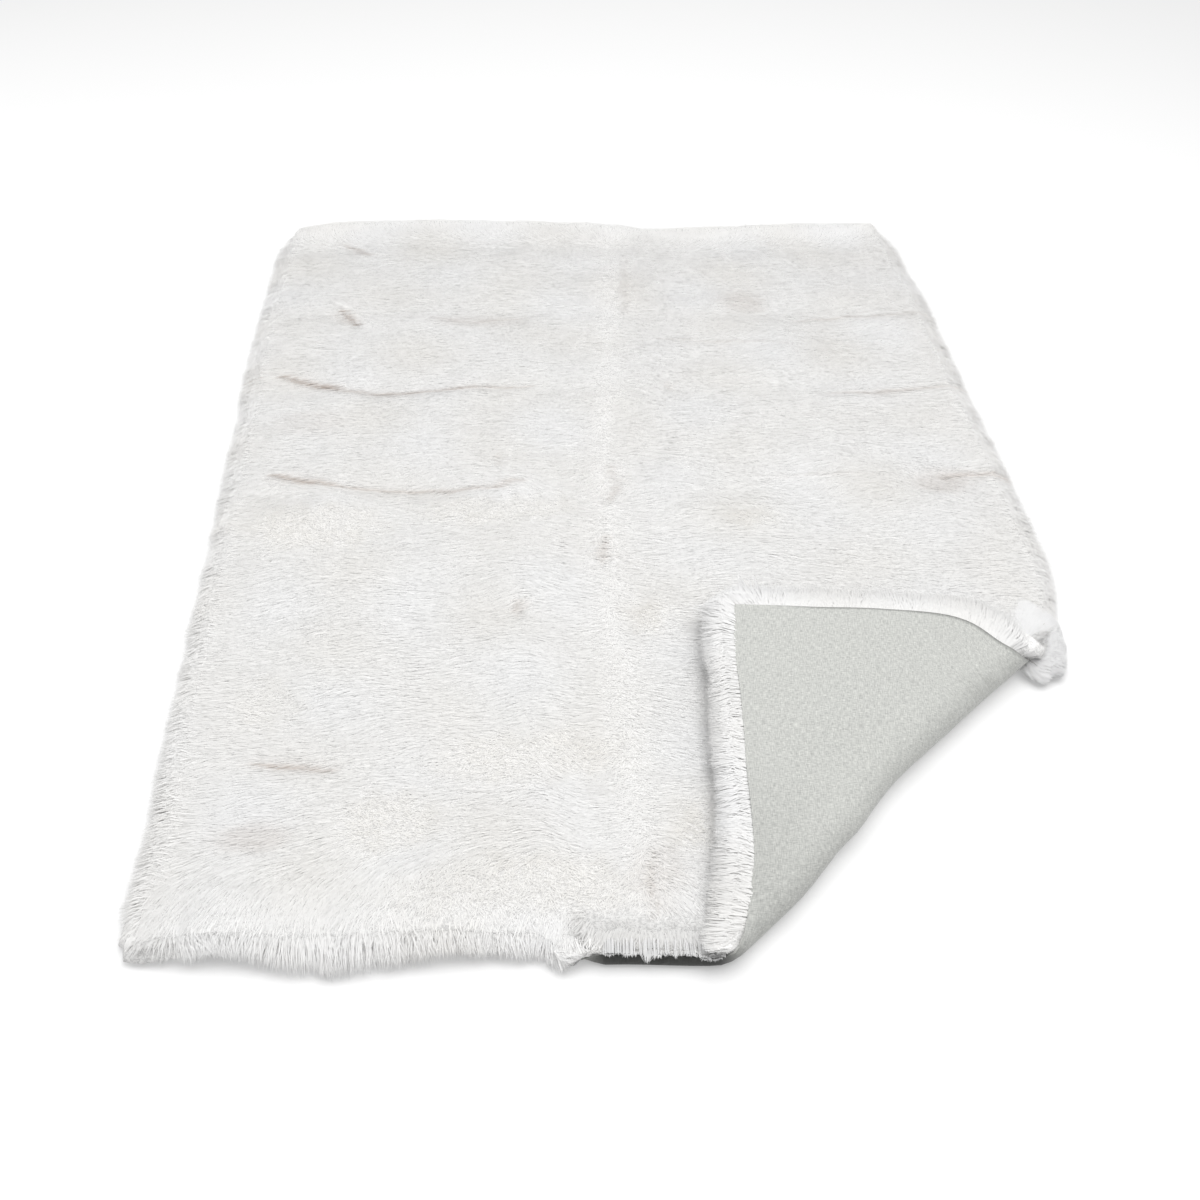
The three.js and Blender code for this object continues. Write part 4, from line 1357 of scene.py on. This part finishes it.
    def build_rim(self) -> None:
        """Hang long hair over the pelt's outer edges, in tufts that end in points."""
        rng = np.random.default_rng(5000 + 10 * self.row + (self.side is Side.RIGHT))
        across, along, dx, dy, inside = self._rim_roots(rng)
        count = across.size
        near = (along < self.rim_band - self.cut.half_length) & (np.abs(dy) > 0.5)
        on_flap = smooth(0.4, 0.9, self.cut.turned(across, along)[1])
        corner = 2 * np.abs(dx * dy) * (1 - on_flap)
        near = near * (1 - on_flap)
        fine, wide = self._tuft(across, along, self.near_tuft_mm), self._tuft(across, along, self.tuft_mm)
        pull_x, pull_y, tuft = (np.where(near > 0.5, a, b) for a, b in zip(fine, wide))
        turn = rng.normal(0, 1, count) * (0.11 + 0.1 * on_flap) + 0.3 * waves(across, along, 90, 51)
        turn = turn + 0.25 * near * (tuft - 0.5)
        c, s = np.cos(turn), np.sin(turn)
        dx, dy = dx * c - dy * s, dx * s + dy * c
        spare = 1 + 0.45 * (tuft - 0.4) * near + 0.12 * (tuft - 0.4) * (1 - near)
        reach = self.cut.rim_reach * rng.uniform(*self.rim_spread, count) * spare
        reach = reach * (1 + self.flap_lengthening * on_flap - self.corner_loss * corner)
        reach = inside * (1 - 0.8 * corner) + reach * (1 - self.crevice_loss * self.cut.puff(across, along))
        drawn = rng.uniform(0, 1, count)
        depth = (0.99 - 0.96 * drawn**1.4) * (1 - on_flap) + (0.02 + 0.9 * drawn**2.2) * on_flap
        stations = np.linspace(0, 1, 3)[None, :]
        gather = (0.22 + 0.42 * near - 0.17 * on_flap)[:, None] * stations**1.5
        aside_x, aside_y = pull_x * np.abs(dy), pull_y * np.abs(dx)
        sx = across[:, None] + dx[:, None] * reach[:, None] * stations + aside_x[:, None] * gather
        sy = along[:, None] + dy[:, None] * reach[:, None] * stations + aside_y[:, None] * gather
        spread = depth[:, None] * np.array([1.0, 0.97, 0.7]) + np.array([0.0, 0.01, 0.1])
        spread[:, 0] = np.minimum(spread[:, 0], self.underfur_top - 0.03)
        spine = FIELD.place(sx, sy, spread)
        facing = unit(self._rim_facing(spine, sx, sy, depth, on_flap) + rng.normal(0, 0.02, spine.shape))
        width = tapered(rng, self.rim_width, count) * (1 + self.flap_widening * on_flap[:, None])
        shade = rng.uniform(*self.shades, (count, 1, 1))
        tones = np.array([0.4, 0.15, 0.0])
        colours = np.stack([FIELD.colour(across, along, np.full(count, tone)) for tone in tones], axis=1) * shade
        add_piece(ribbon_mesh(f"{self.name}_rim", spine, width, facing, colours), self.guard, "fox_fur")

    def build_fringe(self) -> None:
        """Hang a few locks from the fur over the curled part of the near edge, in front of the lining there."""
        rng = np.random.default_rng(6000 + (self.side is Side.RIGHT))
        x0, x1 = (-70.0, 0.0) if self.side is Side.LEFT else (0.0, 100.0)
        locks = rng.uniform(x0, x1, int((x1 - x0) / self.fringe_lock_mm))
        share = np.clip(0.85 * np.exp(-(((locks + 5) / 34) ** 2)) + rng.uniform(-0.7, 0.05, locks.size), 0.0, 1)
        which = rng.integers(0, locks.size, int(locks.size * self.fringe_hairs))
        across = locks[which] + rng.normal(0, 3.2, which.size)
        inside = self.cut.curl_width + 22 * rng.uniform(0, 1, which.size)
        root = FIELD.place(across, inside - self.cut.half_length, np.full(which.size, 0.8))
        edge = -self.cut.half_length
        lip = placed(self.cut.surface(across, np.full(which.size, edge)) + np.array([0.0, -3.0, 5.0]))
        foot = placed(self.cut.surface(locks[which], np.full(which.size, edge + self.cut.curl_width / 2)))
        hang = (share[which] * rng.uniform(0.7, 1.1, which.size))[:, None]
        tip = lip + (foot - lip + np.array([0.0, -5.0, 0.0]) * MM) * hang + rng.normal(0, 1.5 * MM, lip.shape)
        tip[:, 2] = np.maximum(tip[:, 2], self.cut.floor_gap * MM)
        spine = np.stack([root, lip, tip], axis=1)
        facing = unit(np.repeat(np.array([self.fringe_facing]), which.size, axis=0))
        width = tapered(rng, self.rim_width, which.size)
        # Painted shade: the fringe's hair is darkened for the shade that the coat's hairs cast on one another.
        colours = np.array(self.fringe_painted_shade)[None, :, None] * WHITE * rng.uniform(0.9, 1, (which.size, 1, 1))
        add_piece(ribbon_mesh(f"{self.name}_fringe", spine, width, facing, colours), self.guard, "fox_fur")

    def build(self) -> None:
        """Build the pelt's underfur and its hair."""
        self.build_underfur()
        self.build_coat()
        self.build_rim()
        if self.is_near:
            self.build_fringe()


@dataclass
class FoldTuft:
    """The fur that the fold squeezes out at its right end, in a soft round bulge."""

    underfur: bpy.types.Material
    guard: bpy.types.Material
    centre: tuple[float, float, float] = (615.0, -380.0, 15.0)
    radii: tuple[float, float, float] = (52.0, 104.0, 22.0)
    start: tuple[float, float, float] = (560.0, -440.0, 45.0)
    body_scale: float = 0.9
    hairs: int = 8000
    hair_length: float = 36.0
    hair_width: float = 2.0

    def _press(self, points: Array, scale: Array) -> Array:
        """Move points onto the bulge, with soft lumps.

        Args:
            points: The points, in mm.
            scale: How far out each one goes, with 1 on the bulge's own size.

        Returns:
            The points on the bulge.
        """
        centre, radii = np.array(self.centre), np.array(self.radii)
        way = unit((points - centre) / radii)
        lumps = 1 + 0.05 * waves(points[..., 0], points[..., 1], 45, 71)
        pressed = centre + way * radii * (scale * lumps)[..., None]
        pressed[..., 2] = np.maximum(pressed[..., 2], CUT.floor_gap)
        return pressed

    def build_body(self) -> None:
        """Build the soft body under the bulge's hair."""
        bm = bmesh.new()
        bmesh.ops.create_icosphere(bm, subdivisions=4, radius=1.0)
        points = np.array(self.centre) + grid_columns(bm) * np.array(self.radii)
        pressed = placed(self._press(points, np.full(len(points), self.body_scale)))
        mesh = closed_mesh("fold_tuft_underfur", bm, pressed, 180.0)
        tint_mesh(mesh, np.repeat(ROOT[None], len(points), axis=0))
        add_piece(mesh, self.underfur, "fox_fur")

    def build_hair(self) -> None:
        """Comb the hair over the bulge, away from the fold."""
        rng = np.random.default_rng(77)
        centre, radii = np.array(self.centre), np.array(self.radii)
        way = unit(rng.normal(0, 1, (self.hairs, 3)))
        way[:, 2] = np.where(way[:, 2] < -0.35, -way[:, 2], way[:, 2])
        root = centre + way * radii
        ahead = unit(root - np.array(self.start) + rng.normal(0, 7, root.shape) - np.array([0.0, 0.0, 14.0]))
        face = unit(way / radii)
        ahead = unit(ahead - face * (ahead * face).sum(axis=1, keepdims=True))
        length = self.hair_length * rng.uniform(0.6, 1.1, self.hairs)
        steps = np.linspace(0, 1, 3)
        run = root[:, None] + ahead[:, None] * length[:, None, None] * steps[None, :, None]
        scale = 0.86 + steps[None] * 0.14 + rng.normal(0, 0.006, (self.hairs, 1)) * steps[None]
        spine = self._press(run, scale)
        facing = unit((spine - centre) / radii**2)
        facing = unit(facing) + np.array([0.0, 0.0, 0.7])
        facing[..., 2] = np.maximum(facing[..., 2], 0.6)
        width = tapered(rng, self.hair_width, self.hairs)
        # Painted shade: the bulge's hair is darkened a little for the shade that hairs cast on one another in the
        # coat, which this smooth bulge lacks.
        colours = WHITE * rng.uniform(0.91, 0.95, (self.hairs, 1, 1)) * np.ones(spine.shape)
        mesh = ribbon_mesh("fold_tuft_hair", placed(spine), width, unit(facing), colours)
        add_piece(mesh, self.guard, "fox_fur")

    def build(self) -> None:
        """Build the bulge."""
        self.build_body()
        self.build_hair()


@dataclass
class Studio:
    """A plain pale floor, soft overhead light and the camera at the photograph's angle."""

    eye: tuple[float, float, float] = (-117.3, -1760.1, 1458.1)
    pitch: float = 0.7703
    yaw: float = -0.0475
    lens: float = 39.0
    sensor: float = 36.0
    floor_size: float = 14.0

    def floor(self) -> None:
        """Lay the floor just under the blanket."""
        bm = bmesh.new()
        bmesh.ops.create_grid(bm, x_segments=1, y_segments=1, size=self.floor_size / 2)
        mesh = bpy.data.meshes.new("studio_floor")
        bm.to_mesh(mesh)
        bm.free()
        mesh.materials.append(StudioFloor().make())
        floor = bpy.data.objects.new("studio_floor", mesh)
        bpy.context.scene.collection.objects.link(floor)

    def _area(self, name: str, place: Vector, size: float, power: float) -> None:
        """Hang a square soft light that points at the blanket's middle.

        Args:
            name: The light's name.
            place: Where it hangs, in metres.
            size: The length of its side, in metres.
            power: Its power, in watts.
        """
        light = bpy.data.lights.new(name, "AREA")
        light.shape = "SQUARE"
        light.size = size
        light.energy = power
        lamp = bpy.data.objects.new(name, light)
        lamp.location = place
        lamp.rotation_euler = (-place).to_track_quat("-Z", "Y").to_euler()
        bpy.context.scene.collection.objects.link(lamp)

    def lights(self) -> None:
        """Light the scene from above and a little from the left and behind, and fill it all round."""
        self._area("overhead_softbox", Vector((0.4, -0.3, 3.4)), 3.4, 122.0)
        self._area("left_softbox", Vector((-3.0, 0.8, 2.2)), 2.0, 25.0)
        world = bpy.data.worlds.new("pale_room")
        world.use_nodes = True
        world.node_tree.nodes["Background"].inputs["Color"].default_value = (1, 1, 1, 1)
        world.node_tree.nodes["Background"].inputs["Strength"].default_value = 0.58
        bpy.context.scene.world = world
        bpy.context.scene.view_settings.view_transform = "Standard"

    def camera(self) -> None:
        """Stand the camera where the photograph was taken."""
        data = bpy.data.cameras.new("camera")
        data.lens, data.sensor_width = self.lens, self.sensor
        data.sensor_fit = "HORIZONTAL"
        camera = bpy.data.objects.new("camera", data)
        camera.location = placed(np.array(self.eye))
        away = Vector(
            (
                -math.sin(self.yaw) * math.cos(self.pitch),
                math.cos(self.yaw) * math.cos(self.pitch),
                -math.sin(self.pitch),
            )
        )
        camera.rotation_euler = away.to_track_quat("-Z", "Y").to_euler()
        bpy.context.scene.collection.objects.link(camera)
        bpy.context.scene.camera = camera

    def build(self) -> None:
        """Set up the studio."""
        self.floor()
        self.lights()
        self.camera()


def main() -> None:
    """Build the studio and the blanket."""
    logging.basicConfig(level=logging.INFO, format="%(name)s: %(message)s")
    Studio().build()
    Lining().build()
    underfur, guard = Underfur().make(), GuardHair().make()
    for row in range(len(CUT.row_seams) - 1):
        for side in Side:
            Pelt(row, side, underfur, guard).build()
    FoldTuft(underfur, guard).build()
    total = sum(len(piece.data.polygons) for piece in bpy.data.objects if piece.type == "MESH")
    log.info("%d faces in all", total)


if __name__ == "__main__":
    main()
